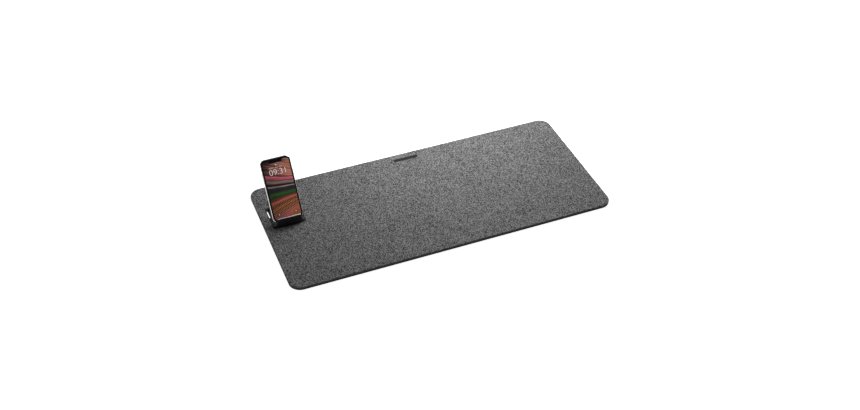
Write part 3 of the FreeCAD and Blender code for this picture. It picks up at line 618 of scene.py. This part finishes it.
def make_screen(name):
    """Lit picture: a fan of coloured cloth-like bands, plain stripes on top, woven dashes below."""
    p = Paint(name, IOR=1.5)
    p.put("Specular IOR Level", 0.3)
    c = p.coords()
    x, y, z = xyz(p, c)
    sway = p.math("MULTIPLY", p.math("SUBTRACT", p.noise(p.scaled(c, (0.03, 0.05, 0.0)), 1.0, 2.0, 0.5), 0.5), 2.6)
    fan = p.math("ADD", 1.0, p.math("MULTIPLY", x, p.fit(y, 50.0, 80.0, 0.0084, 0.0066)))
    v = p.math("ADD", p.math("ADD", 67.0, sway), p.math("MULTIPLY", p.math("SUBTRACT", y, 67.0), fan))
    bands = [
        (0, (58, 38, 42)), (9, (120, 60, 84)), (13, (150, 82, 50)), (17.5, (124, 66, 92)), (21.5, (146, 84, 76)), (24.5, (60, 36, 32)),
        (27, (124, 76, 54)), (31.5, (52, 34, 24)), (34, (136, 80, 54)), (39.5, (72, 48, 30)), (41, (52, 40, 22)), (44, (104, 60, 40)),
        (46.5, (152, 78, 72)), (51.5, (112, 46, 38)), (54.5, (60, 54, 30)), (57, (42, 50, 26)), (60, (34, 76, 34)), (64.7, (54, 50, 38)),
        (68.4, (30, 36, 34)), (73.5, (36, 40, 46)), (77.8, (132, 112, 106)), (80.7, (44, 18, 20)), (84.4, (84, 66, 60)), (86.5, (110, 98, 92)),
        (92.4, (56, 22, 24)), (93.6, (156, 72, 84)), (98.0, (170, 92, 98)), (102, (40, 22, 20)), (104, (104, 70, 60)),
    ]
    t = p.math("DIVIDE", v, 144.0)
    base = p.ramp(t, [(a / 144.0, lin(*c3)) for a, c3 in bands], "CONSTANT")
    # streaks in the plain bands
    streak = p.noise(combine(p, p.math("MULTIPLY", x, 0.035), p.math("MULTIPLY", v, 0.85)), 1.0, 3.0, 0.6, 0.3)
    base = p.mix(1.0, base, p.ramp(streak, [(0.30, 0.45), (0.5, 0.95), (0.70, 1.5)]), "MULTIPLY")
    # top field: dark left, warm right, slanting streaks
    slant = p.noise(combine(p, p.math("MULTIPLY", p.math("ADD", x, p.math("MULTIPLY", y, 0.9)), 0.02),
                            p.math("MULTIPLY", p.math("ADD", y, p.math("MULTIPLY", x, 0.42)), 0.26)), 1.0, 3.0, 0.6, 0.4)
    warm = p.mix(p.fit(x, -25.0, -8.0), lin(50, 36, 32), p.mix(p.fit(x, 2.0, 24.0), lin(120, 78, 70), lin(158, 96, 74)))
    rose = p.mix(p.math("MULTIPLY", p.fit(slant, 0.48, 0.62), p.fit(x, -30.0, 0.0, 0.25, 0.9)), warm, lin(158, 108, 104))
    top = p.mix(p.fit(slant, 0.45, 0.36), rose, lin(40, 22, 20))
    top = p.mix(p.fit(y, 133.0, 136.0), top, p.mix(p.fit(x, -6.0, 6.0), lin(52, 32, 31), p.mix(p.fit(slant, 0.42, 0.56), lin(74, 52, 50), lin(146, 116, 110))))
    base = p.mix(p.fit(v, 103.6, 104.4), base, top)
    # dashes in the lower bands
    row = p.math("FLOOR", p.math("DIVIDE", v, 4.7))
    dash = p.math("SINE", p.math("ADD", p.math("MULTIPLY", p.math("ADD", x, p.math("MULTIPLY", y, 0.55)), 2 * math.pi / 4.4),
                                 p.math("MULTIPLY", row, 2.2)))
    low = p.math("MULTIPLY", p.fit(v, 46.0, 45.4, 0.0, 1.0), p.fit(v, 12.0, 15.0, 0.25, 1.0))
    dashes = p.math("MULTIPLY", p.fit(dash, 0.05, 0.5), low)
    base = p.mix(p.math("MULTIPLY", dashes, 0.9), base, lin(26, 17, 14))
    ridge = p.math("MULTIPLY", p.fit(p.math("MULTIPLY", dash, -1.0), 0.35, 0.85), low)
    base = p.mix(p.math("MULTIPLY", ridge, 0.5), base, lin(206, 132, 88))
    thread = p.math("SINE", p.math("MULTIPLY", v, 2 * math.pi / 1.15))
    base = p.mix(0.35, base, p.mix(1.0, base, p.ramp(p.fit(thread, -1.0, 1.0), [(0.0, 0.55), (1.0, 1.35)]), "MULTIPLY"))
    # the picture is dimmer to the left, pink low on the left and orange low on the right
    foot = p.mix(p.fit(x, -14.0, 12.0), lin(126, 58, 86), lin(150, 82, 48))
    base = p.mix(p.math("MULTIPLY", p.fit(v, 24.0, 15.0), 0.6), base, foot)
    base = p.mix(1.0, base, p.ramp(p.fit(x, -32.0, 12.0), [(0.0, 0.58), (1.0, 1.0)]), "MULTIPLY")
    p.put("Base Color", (0.002, 0.002, 0.002))
    p.put("Roughness", p.fit(p.noise(p.scaled(c, (0.05, 0.025, 0.05), 0.5), 1.0, 4.0, 0.65), 0.4, 0.7, 0.05, 0.1))
    p.put("Emission Color", base)
    p.put("Emission Strength", 0.95)
    return p.mat


def make_light_ink(name, level, place=None):
    """Lit marks on the screen: pixels too fine to see, a hint of unevenness."""
    p = Paint(name, Roughness=0.12)
    p.put("Base Color", (0.002, 0.002, 0.002))
    c = p.coords(place)
    n = p.noise(c, 3.0, 2.0, 0.5)
    p.put("Emission Color", p.mix(n, tuple(0.92 * v for v in level), tuple(1.04 * v for v in level)))
    p.put("Emission Strength", 1.0)
    return p.mat


def make_lens(name, place):
    p = Paint(name, IOR=1.6, Coat_Weight=1.0, Coat_Roughness=0.02)
    p.put("Specular IOR Level", 0.6)
    c = p.coords(place)
    n = p.noise(c, 0.15, 2.0, 0.5)
    p.put("Base Color", p.mix(p.fit(n, 0.4, 0.6), (0.004, 0.005, 0.014), (0.012, 0.006, 0.020)))
    p.put("Roughness", p.fit(n, 0.3, 0.7, 0.03, 0.07))
    return p.mat


def make_board(name, place):
    p = Paint(name, Roughness=0.4)
    c = p.coords(place)
    cell = p.node("TexVoronoi", Vector=p.scaled(c, (0.5, 0.5, 0.1)), Scale=1.0, props={"feature": "F1", "distance": "CHEBYCHEV"})
    track = p.noise(p.scaled(c, (0.3, 1.6, 1.0)), 1.0, 1.0, 0.5)
    col = p.mix(p.fit(cell, 0.1, 0.4), (0.004, 0.035, 0.022), (0.010, 0.07, 0.045))
    p.put("Base Color", p.mix(p.fit(track, 0.56, 0.6), col, (0.18, 0.14, 0.05)))
    p.put("Normal", p.bump(track, 0.3, 0.0001))
    return p.mat


M = {
    # the mat's felt carries painted shade on its rim and cut sides, growing from 7.9 mm high to full at 7.1 mm
    "felt": make_felt("felt_heather_rim_shade", low=(7.1, 7.9)),
    "flap_felt": make_felt("felt_flap", place=None),
    # painted shade: a near-black copy of the felt for the back rest skin's cut sides
    "flap_edge_painted_shade": make_felt("felt_flap_edge", (0.003, 0.003, 0.003), (0.008, 0.008, 0.0082), (0.022, 0.022, 0.0225)),
    "core": make_fibre_board("fibre_board_black"),
    "base_rubber": make_rubber("base_rubber_grip", (0.013, 0.013, 0.0135), dots=5.0),
    "flap_back": make_rubber("flap_rubber_grip", (0.017, 0.017, 0.018), dots=4.0),
    "tag": make_tag("tag_weave"),
    "frame_plastic": make_plastic("frame_black", (0.012, 0.012, 0.013), 0.48),
    "pin_steel": make_metal("pin_ground", (0.62, 0.62, 0.63), 0.22),
    "screw_steel": make_metal("screw_zinc", (0.50, 0.50, 0.51), 0.32, (1.5, 1.5, 1.5), worn=0.4),
    "lip_black": make_black_coat("lip_black_coat"),
    "lip_bright": make_metal("lip_cut_edge", (0.90, 0.88, 0.87), 0.42, (0.05, 3.0, 3.0)),
    "pad_rubber": make_rubber("pad_soft_black", (0.010, 0.010, 0.0105), rough=0.6),
    "rail_metal": make_metal("rail_dark_anodised", (0.055, 0.055, 0.06), 0.38, (0.03, 2.4, 2.4)),
    "sleeve_plastic": make_plastic("sleeve_acetal", (0.62, 0.60, 0.56), 0.4),
    "phone_steel": make_band("band_bright", PHONE),
    "key_steel": make_metal("key_bright", (0.80, 0.80, 0.79), 0.24, (2.4, 0.05, 2.4), PHONE),
    "glass": make_black_glass("glass_black"),
    "back_glass": make_black_glass("glass_back", PHONE, 0.8),
    "screen": make_screen("screen_picture"),
    "ink": make_light_ink("screen_white", (0.94, 0.86, 0.80)),
    "ink_soft": make_light_ink("screen_pale", (0.46, 0.33, 0.28)),
    "ink_glyph": make_light_ink("screen_glyph", (0.62, 0.50, 0.42)),
    "ink_dark": make_light_ink("screen_dim", (0.045, 0.028, 0.024)),
    "display": make_plastic("panel_rear", (0.02, 0.02, 0.022), 0.3, place=PHONE),
    "lens_glass": make_lens("lens_coated", PHONE),
    "flash_glass": make_plastic("flash_diffuser", (0.80, 0.74, 0.55), 0.25, 2.5, PHONE),
    "mesh_dark": make_metal("mesh_black", (0.05, 0.05, 0.05), 0.5, (3.0, 3.0, 3.0), PHONE),
    "inner_metal": make_metal("shield_can", (0.55, 0.55, 0.56), 0.35, (0.3, 2.0, 2.0), PHONE),
    "inner_plastic": make_plastic("inner_black", (0.02, 0.02, 0.02), 0.5, place=PHONE),
    "battery_wrap": make_plastic("pouch_wrap", (0.03, 0.03, 0.034), 0.35, 0.8, PHONE),
    "board": make_board("solder_mask", PHONE),
}


def dress_node(node, key):
    ob = NODE[node]
    if not ob.material_slots:
        ob.data.materials.append(M[key])
    for s in ob.material_slots:
        s.material = M[key]


for node, key in {
    "core_board": "core", "base_rubber": "base_rubber", "holder_frame": "frame_plastic", "hinge_pin": "pin_steel",
    "lip_screws": "screw_steel", "flap_rail": "rail_metal", "friction_sleeves": "sleeve_plastic", "flap_core": "core",
    "flap_rivets": "screw_steel", "phone_frame": "phone_steel", "back_glass": "back_glass", "display_panel": "display",
    "front_camera": "lens_glass", "earpiece_receiver": "inner_metal", "earpiece_mesh": "mesh_dark",
    "camera_bezel": "key_steel", "camera_lenses": "lens_glass", "flash_lens": "flash_glass", "camera_module": "inner_metal",
    "battery": "battery_wrap", "logic_board": "board", "loudspeaker": "inner_plastic", "haptic_motor": "inner_metal",
    "charge_port": "inner_metal", "bottom_screws": "screw_steel", "sim_tray": "key_steel", "key_switches": "inner_plastic",
    "power_button": "key_steel", "volume_up_button": "key_steel", "volume_down_button": "key_steel", "mute_switch": "key_steel",
    "plain_tag": "tag", "lip_plate": "lip_black", "lip_pad": "pad_rubber", "cover_glass": "glass",
    "flap_felt": "flap_felt", "flap_back": "flap_back", "felt_top": "felt",
}.items():
    dress_node(node, key)

# ------------------------------------------------------------ the felt sheet


def felt_sheet():
    """The mat's felt: a fine quad net with a rounded, slightly uneven rim, and the window cut out."""
    L, W, R = 780.0, 362.0, 27.5
    rim, step = 1.3, 2.2
    lo, hi = NODE_BOX["holder_frame_top"]
    wx0, wx1, wy0, wy1 = lo[0], hi[0], lo[1], hi[1]
    wr = 0.45
    gx0, gx1, gy0, gy1 = wx0 - wr, wx1 + wr, wy0 - wr, wy1 + wr
    hx, hy = L / 2 - rim, W / 2 - rim
    cx, cy = L / 2 - R, W / 2 - R
    r = R - rim

    def lines(stops):
        out = [stops[0]]
        for a, b in zip(stops[:-1], stops[1:]):
            n = max(1, int(round((b - a) / step)))
            out += list(a + (b - a) * np.arange(1, n + 1) / n)
        return np.array(out)

    xs = lines([-hx, -cx, gx1, cx, hx] if gx0 < -cx < gx1 and abs(gx0 + cx) < 0.5 else sorted([-hx, gx0, -cx, gx1, cx, hx]))
    ys = lines([-hy, -cy, gy0, gy1, cy, hy])
    nx, ny = len(xs), len(ys)
    X, Y = np.meshgrid(xs, ys, indexing="ij")
    jig = np.random.default_rng(4).uniform(-0.32, 0.32, (nx, ny, 2)) * step
    free = np.ones((nx, ny), bool)
    for line_x in (-hx, gx0, gx1, hx, -cx, cx):
        free[np.argmin(abs(xs - line_x)), :] = False
    for line_y in (-hy, gy0, gy1, hy, -cy, cy):
        free[:, np.argmin(abs(ys - line_y))] = False
    X = X + jig[..., 0] * free
    Y = Y + jig[..., 1] * free
    u = np.clip((abs(X) - cx) / (hx - cx), 0, 1)
    v = np.clip((abs(Y) - cy) / (hy - cy), 0, 1)
    corner = (abs(X) > cx) & (abs(Y) > cy)
    U = cx + u * np.sqrt(1 - v * v / 2) * r
    V = cy + v * np.sqrt(1 - u * u / 2) * r
    X = np.where(corner, np.sign(X) * U, X)
    Y = np.where(corner, np.sign(Y) * V, Y)
    Z = 8.0 - 0.14 + 0.06 * lattice(X, Y, 9.0, 1) + 0.10 * lattice(X, Y, 3.4, 2) + 0.08 * np.random.default_rng(5).uniform(-1, 1, X.shape)
    ident = np.arange(nx * ny).reshape(nx, ny)
    i0, i1 = np.argmin(abs(xs - gx0)), np.argmin(abs(xs - gx1))
    j0, j1 = np.argmin(abs(ys - gy0)), np.argmin(abs(ys - gy1))
    hole = np.zeros((nx - 1, ny - 1), bool)
    hole[i0:i1, j0:j1] = True
    quads = np.stack([ident[:-1, :-1], ident[1:, :-1], ident[1:, 1:], ident[:-1, 1:]], -1)[~hole]
    outer = np.concatenate([ident[:-1, 0], ident[-1, :-1], ident[1:, -1][::-1], ident[0, 1:][::-1]])
    inner = np.concatenate([ident[i0, j0:j1], ident[i0:i1, j1], ident[i1, j0 + 1:j1 + 1][::-1], ident[i0 + 1:i1 + 1, j0][::-1]])
    verts = [np.column_stack([X.ravel(), Y.ravel(), Z.ravel()])]
    total = nx * ny
    faces = [quads]

    def skirt(loop, rad, bottom):
        nonlocal total
        p = verts[0][loop]
        nrm = loop_normals(p[:, :2])
        ring = np.array(loop)
        n = len(ring)
        fuzz = 0.07 * np.random.default_rng(n).uniform(-1, 1, n) + 0.05 * lattice(p[:, 0], p[:, 1], 4.0, 9)
        rows = [(rad * math.sin(a), p[:, 2] - rad * (1 - math.cos(a))) for a in np.radians((25, 50, 72, 90))]
        rows += [(rad, np.full(n, 6.1)), (rad - 0.05, np.full(n, bottom))]
        for k, (off, z) in enumerate(rows):
            shift = off - (0.12 + fuzz) * (1 if k < 5 else 0.6)
            xy = p[:, :2] + nrm * (shift if np.ndim(shift) else np.full(n, shift))[:, None]
            verts.append(np.column_stack([xy, z]))
            new = np.arange(total, total + n)
            total += n
            faces.append(np.stack([ring, new, np.roll(new, -1), np.roll(ring, -1)], -1))
            ring = new
        return ring

    low_out = skirt(outer, rim, 5.02)
    low_in = skirt(inner, wr, 5.02)
    allv = np.concatenate(verts)
    flat_out, flat_in = allv[low_out][:, :2], allv[low_in][:, :2]
    pts = list(flat_out) + list(flat_in)
    n1, n2 = len(flat_out), len(flat_in)
    edges = [(k, (k + 1) % n1) for k in range(n1)] + [(n1 + k, n1 + (k + 1) % n2) for k in range(n2)]
    out_v, _, out_f, origin, _, _ = delaunay_2d_cdt([Vector(q) for q in pts], edges, [], 0, 1e-7, True)
    co = np.array([tuple(q) for q in out_v])
    tri = np.array([f for f in out_f if len(f) == 3])
    mid = co[tri].mean(1)
    tri = tri[inside(mid, flat_out) & ~inside(mid, flat_in)]
    ids = np.concatenate([low_out, low_in])
    back = np.array([ids[o[0]] for o in origin])
    d = co[tri]
    turn = (d[:, 1, 0] - d[:, 0, 0]) * (d[:, 2, 1] - d[:, 0, 1]) - (d[:, 2, 0] - d[:, 0, 0]) * (d[:, 1, 1] - d[:, 0, 1])
    tri[turn > 0] = tri[turn > 0][:, ::-1]
    every = [tuple(f) for part in faces for f in part] + [tuple(back[f]) for f in tri]
    return mesh_object("felt_sheet", allv * MM, every, [M["felt"]])


HOLDER_X = -332.0
NODE_BOX = {"holder_frame_top": ((HOLDER_X - 77.6 / 2, 25.4), (HOLDER_X + 77.6 / 2, 101.5))}
felt = felt_sheet()
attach(felt, "mat")
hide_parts("felt_top")

# ------------------------------------------------- the back rest's two skins


def leaf_loop():
    w, low, top, r = 73.6, 3.8, 64.8, 3.0
    cy, nr = 67.8, 9.0
    half = math.sqrt(nr * nr - (cy - top) ** 2)
    a = math.degrees(math.asin((top - cy) / nr))
    pts = [np.array([[-w / 2, low], [w / 2, low]])]
    pts.append(arc(w / 2 - r, top - r, r, 0, 90, 7))
    notch = arc(0, cy, nr, a, -180 - a, 25)
    soft = 1.2
    pts.append(notch)
    pts.append(arc(-w / 2 + r, top - r, r, 90, 180, 7))
    loop = np.concatenate(pts)
    dense = []
    for p, q in zip(loop, np.roll(loop, -1, 0)):
        n = max(1, int(np.linalg.norm(q - p) / 1.6))
        dense += [p + (q - p) * k / n for k in range(n)]
    return np.array(dense)


LEAF = leaf_loop()
# the skin's sides take the near-black felt: painted shade on its cut edges
front_skin = slab("flap_felt_skin", LEAF, 1.2, 3.3, [M["flap_felt"], M["flap_edge_painted_shade"]], side_mat=1, r_top=0.6, r_bot=0.15, steps=4, grid=1.5,
                  relief=lambda x, y: -0.06 + 0.07 * lattice(x, y, 3.2, 11) + 0.05 * lattice(x, y, 1.3, 12), place=FLAP)
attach(front_skin, "rest")
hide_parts("flap_felt")

rivet_holes = [arc(x, 9.0, 1.02, 0, 360, 21)[:-1] for x in (-30, -11, 11, 30)]
FLIP = Matrix.Scale(-1, 4, (0, 0, 1))


def back_relief(x, y):
    """Low ribs of the non-slip skin."""
    rib = np.clip(np.cos((y - 4.0) * 2 * math.pi / 3.4) * 1.6, -1, 1) * 0.12
    border = np.minimum(np.minimum(36.8 - abs(x), y - 3.8), 64.8 - y)
    near_notch = np.hypot(x, y - 67.8) - 9.0
    near_rivet = np.min([np.hypot(x - k, y - 9.0) for k in (-30, -11, 11, 30)], axis=0)
    fade = np.clip((np.minimum(border, near_notch) - 2.6) / 0.8, 0, 1) * np.clip((near_rivet - 3.0) / 0.8, 0, 1)
    return (rib - 0.12) * fade


back_skin = slab("flap_back_skin", LEAF, 1.2, 3.3, [M["flap_back"]], holes=rivet_holes, r_top=0.45, r_bot=0.1, steps=3, grid=0.85,
                 relief=back_relief, place=FLAP)
for v in back_skin.data.vertices:
    v.co.z = -v.co.z
back_skin.data.flip_normals()
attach(back_skin, "rest")
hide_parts("flap_back")

# ------------------------------------------------------------- the front lip
LIP_FRONT, LIP_THICK = 25.4, 3.0
FACING = Matrix.Translation(Vector((HOLDER_X * MM, (LIP_FRONT + LIP_THICK) * MM, 0))) @ Matrix.Rotation(math.radians(90), 4, "X")


def lip_loop(inset=0.0):
    w, z0, z1, r = 56.0 - 2 * inset, 1.0, 32.5 - inset, 3.0
    pts = [np.array([[-w / 2, z0], [w / 2, z0]]), arc(w / 2 - r, z1 - r, r, 0, 90, 13), arc(-w / 2 + r, z1 - r, r, 90, 180, 13)]
    loop = np.concatenate(pts)
    dense = []
    for p, q in zip(loop, np.roll(loop, -1, 0)):
        n = max(1, int(np.linalg.norm(q - p) / 3.0))
        dense += [p + (q - p) * k / n for k in range(n)]
    return np.array(dense)


def lip_plate():
    """Black plate with a narrow bright bevel all round its top edge."""
    screw = [arc(x, 2.9, 1.9, 0, 360, 25)[:-1] for x in (-18, 18)]
    ob = slab("lip_face", lip_loop(), 0.0, LIP_THICK, [M["lip_black"], M["lip_bright"]], r_top=0.45, r_bot=0.45, steps=3,
              place=FACING, side_mat=0)
    for f in ob.data.polygons:
        if f.center.y > 31.6 * MM and f.normal.y > 0.35 and abs(f.center.x) < 26.4 * MM:
            f.material_index = 1
    return ob


lip = lip_plate()
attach(lip, "mat")
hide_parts("lip_plate")


def lip_buffer():
    """Moulded strip behind the lip: four soft ribs for the phone's edge to sit on."""
    w = 54.0
    loop = round_rect(w, 17.0, 2.0, 0.0, 18.5, 7, 1.0)
    place = Matrix.Translation(Vector((HOLDER_X * MM, (LIP_FRONT + LIP_THICK) * MM, 0))) @ Matrix.Rotation(math.radians(-90), 4, "X") @ Matrix.Scale(-1, 4, (0, 1, 0))

    def ribs(x, y):
        edge = np.minimum(27.0 - abs(x), np.minimum(y - 10.0, 27.0 - y))
        return -0.30 * (0.5 - 0.5 * np.cos((y - 10.0) * 2 * math.pi / 4.25)) * np.clip((edge - 0.9) / 0.8, 0, 1)
    ob = slab("lip_buffer", loop, 0.0, 1.0, [M["pad_rubber"]], r_top=0.3, r_bot=0.1, steps=3, grid=0.8, relief=ribs, place=None)
    ob.data.transform(place)
    ob.data.flip_normals()
    return ob


buffer = lip_buffer()
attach(buffer, "mat")
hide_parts("lip_pad")

# --------------------------------------------------------------- the plain tag
tag_loop = round_rect(62.0, 10.0, 4.9, 1.5, 158.0, 9, 1.2)


def tag_relief(x, y):
    edge = 5.0 - np.abs(y - 158.0)
    edge = np.minimum(edge, 31.0 - np.abs(x - 1.5))
    groove = -0.10 * np.exp(-((edge - 1.5) / 0.28) ** 2)
    stitch = 0.07 * np.exp(-((edge - 1.5) / 0.30) ** 2) * (np.sin(x * 2 * math.pi / 2.0) > -0.2)
    return groove + stitch + 0.015 * lattice(x, y, 1.2, 31)


tag = slab("tag_strip", tag_loop, 8.0, 8.5, [M["tag"]], r_top=0.22, r_bot=0.05, steps=3, grid=0.5, relief=tag_relief)
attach(tag, "mat")
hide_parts("plain_tag")

# ------------------------------------------------------- the phone's front
PW, PH, PT = 71.5, 146.7, 7.7
GW, GH, GR = PW - 3.0, PH - 3.0, 10.0


def screen_loop():
    w, h, r = 62.2, 135.0, 6.4
    low = PH / 2 - h / 2
    top = low + h
    nw, nd, nr, nf = 31.0, 5.6, 2.6, 1.4
    pts = [arc(w / 2 - r, low + r, r, -90, 0, 11), arc(w / 2 - r, top - r, r, 0, 90, 11),
           arc(nw / 2 + nf, top - nf, nf, 90, 180, 6), arc(nw / 2 - nr, top - nd + nr, nr, 0, -90, 8),
           arc(-nw / 2 + nr, top - nd + nr, nr, -90, -180, 8), arc(-nw / 2 - nf, top - nf, nf, 0, 90, 6),
           arc(-w / 2 + r, top - r, r, 90, 180, 11), arc(-w / 2 + r, low + r, r, 180, 270, 11)]
    return np.concatenate(pts)


ear = round_rect(9.6, 1.3, 0.6, 0.0, PH - 3.9, 7)
front = slab("front_glass", round_rect(GW, GH, GR, 0, PH / 2, 15, 4.0), PT - 0.8, PT, [M["glass"], M["screen"]], holes=[ear],
             r_top=0.45, r_bot=0.05, steps=5, marks=[(screen_loop(), 1)], place=PHONE)
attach(front, "phone")
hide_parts("cover_glass")


def clock():
    """Clock numbers, set in Blender's own face, thinned and narrowed."""
    cu = bpy.data.curves.new("clock_text", "FONT")
    cu.body = "09:31"
    cu.size = 1.0
    cu.offset = -0.026
    cu.resolution_u = 6
    tmp = bpy.data.objects.new("clock_text", cu)
    scene.collection.objects.link(tmp)
    bpy.context.view_layer.update()
    me = bpy.data.meshes.new_from_object(tmp.evaluated_get(bpy.context.evaluated_depsgraph_get()))
    bpy.data.objects.remove(tmp)
    co = np.array([v.co for v in me.vertices])
    lo, hi = co.min(0), co.max(0)
    w, h = 37.4, 12.4
    x = (co[:, 0] - lo[0]) / (hi[0] - lo[0]) * w - 18.9
    y = (co[:, 1] - lo[1]) / (hi[1] - lo[1]) * h + 108.2
    z = np.full(len(co), PT + 0.012)
    verts = np.column_stack([x, y, z])
    tri = [tuple(p.vertices) for p in me.polygons]
    # give the flat numbers a hair of thickness, closed all round
    n = len(verts)
    low = verts.copy()
    low[:, 2] = PT - 0.010
    count = {}
    for f in tri:
        for a, b in zip(f, f[1:] + f[:1]):
            count[(a, b)] = count.get((a, b), 0) + 1
    rim = [(a, b) for (a, b) in count if (b, a) not in count]
    faces = tri + [tuple(i + n for i in reversed(f)) for f in tri] + [(a + n, b + n, b, a) for a, b in rim]
    bpy.data.meshes.remove(me)
    return mesh_object("clock_numbers", np.concatenate([verts, low]) * MM, faces, [M["ink"]], place=PHONE, smooth=False)


numbers = clock()
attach(numbers, "phone")


def glyphs():
    """Plain lit marks: a dot, three date bars and two round key spots."""
    z0, z1 = PT - 0.010, PT + 0.010
    bits = []

    def add(loop, mat, holes=(), lift=0.0):
        bits.append(slab("mark_%d" % len(bits), loop, z0 + lift, z1 + lift, [M[mat]], holes=holes, place=PHONE))

    add(arc(-0.6, 130.4, 1.1, 0, 360, 25)[:-1], "ink")
    add(thick_line([(-18.0, 124.6), (-8.0, 124.6)], 1.3), "ink_soft")
    add(thick_line([(-3.0, 124.6), (3.2, 124.6)], 1.3), "ink_soft")
    add(thick_line([(6.0, 124.6), (12.4, 124.6)], 1.3), "ink_soft")
    for x in (-19.0, 20.4):
        add(arc(x, 17.4, 3.8, 0, 360, 41)[:-1], "ink_dark")
    bits.append(slab("mark_torch", thick_line([(-19.0, 16.2), (-19.0, 18.5)], 1.2), z0 + 0.012, z1 + 0.012, [M["ink_glyph"]], place=PHONE))
    bits.append(slab("mark_ring", arc(20.4, 17.4, 1.6, 0, 360, 31)[:-1], z0 + 0.012, z1 + 0.012, [M["ink_glyph"]],
                     holes=[arc(20.4, 17.4, 0.8, 0, 360, 21)[:-1]], place=PHONE))
    return join("screen_marks", bits)


marks = glyphs()
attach(marks, "phone")

# ------------------------------------------------------------------ studio
floor_mat = Paint("floor_white", Roughness=0.9)
floor_mat.put("Specular IOR Level", 0.05)
fc = floor_mat.coords()
floor_mat.put("Base Color", floor_mat.mix(floor_mat.noise(fc, 0.002, 2.0), (0.90, 0.90, 0.90), (0.93, 0.93, 0.93)))
floor_mat.put("Emission Color", (1, 1, 1))
floor_mat.put("Emission Strength", 0.92)
floor = mesh_object("studio_floor", [(-9, -9, -0.0004), (9, -9, -0.0004), (9, 9, -0.0004), (-9, 9, -0.0004)], [(0, 1, 2, 3)], [floor_mat.mat], smooth=False)

world = bpy.data.worlds.new("studio")
world.use_nodes = True
scene.world = world
wn = world.node_tree
wn.nodes.clear()
wout = wn.nodes.new("ShaderNodeOutputWorld")
wbg = wn.nodes.new("ShaderNodeBackground")
wtc = wn.nodes.new("ShaderNodeTexCoord")
wsep = wn.nodes.new("ShaderNodeSeparateXYZ")
wramp = wn.nodes.new("ShaderNodeValToRGB")
wmap = wn.nodes.new("ShaderNodeMapRange")
wn.links.new(wtc.outputs["Generated"], wsep.inputs[0])
wn.links.new(wsep.outputs[1], wmap.inputs[0])
wmap.inputs[1].default_value, wmap.inputs[2].default_value = -1.0, 1.0
wn.links.new(wmap.outputs[0], wramp.inputs[0])
wramp.color_ramp.elements[0].position, wramp.color_ramp.elements[0].color = 0.0, (0.08, 0.08, 0.083, 1)
wramp.color_ramp.elements[1].position, wramp.color_ramp.elements[1].color = 1.0, (0.24, 0.24, 0.24, 1)
wn.links.new(wramp.outputs[0], wbg.inputs[0])
wbg.inputs[1].default_value = 1.0
wn.links.new(wbg.outputs[0], wout.inputs[0])


def softbox(name, at, aim, size, watts, shape="SQUARE"):
    data = bpy.data.lights.new(name, "AREA")
    data.shape, data.size, data.energy = shape, size, watts
    ob = bpy.data.objects.new(name, data)
    ob.location = at
    ob.rotation_mode = "QUATERNION"
    ob.rotation_quaternion = (Vector(aim) - Vector(at)).to_track_quat("-Z", "Y")
    ob.visible_camera = False
    scene.collection.objects.link(ob)
    return ob


softbox("key_back_right", (0.22, 0.36, 0.50), (0.0, 0.0, 0.0), 0.5, 4.8)
scene.view_settings.view_transform = "Standard"
scene.view_settings.look = "None"
scene.view_settings.exposure = 0.0
scene.view_settings.gamma = 1.0
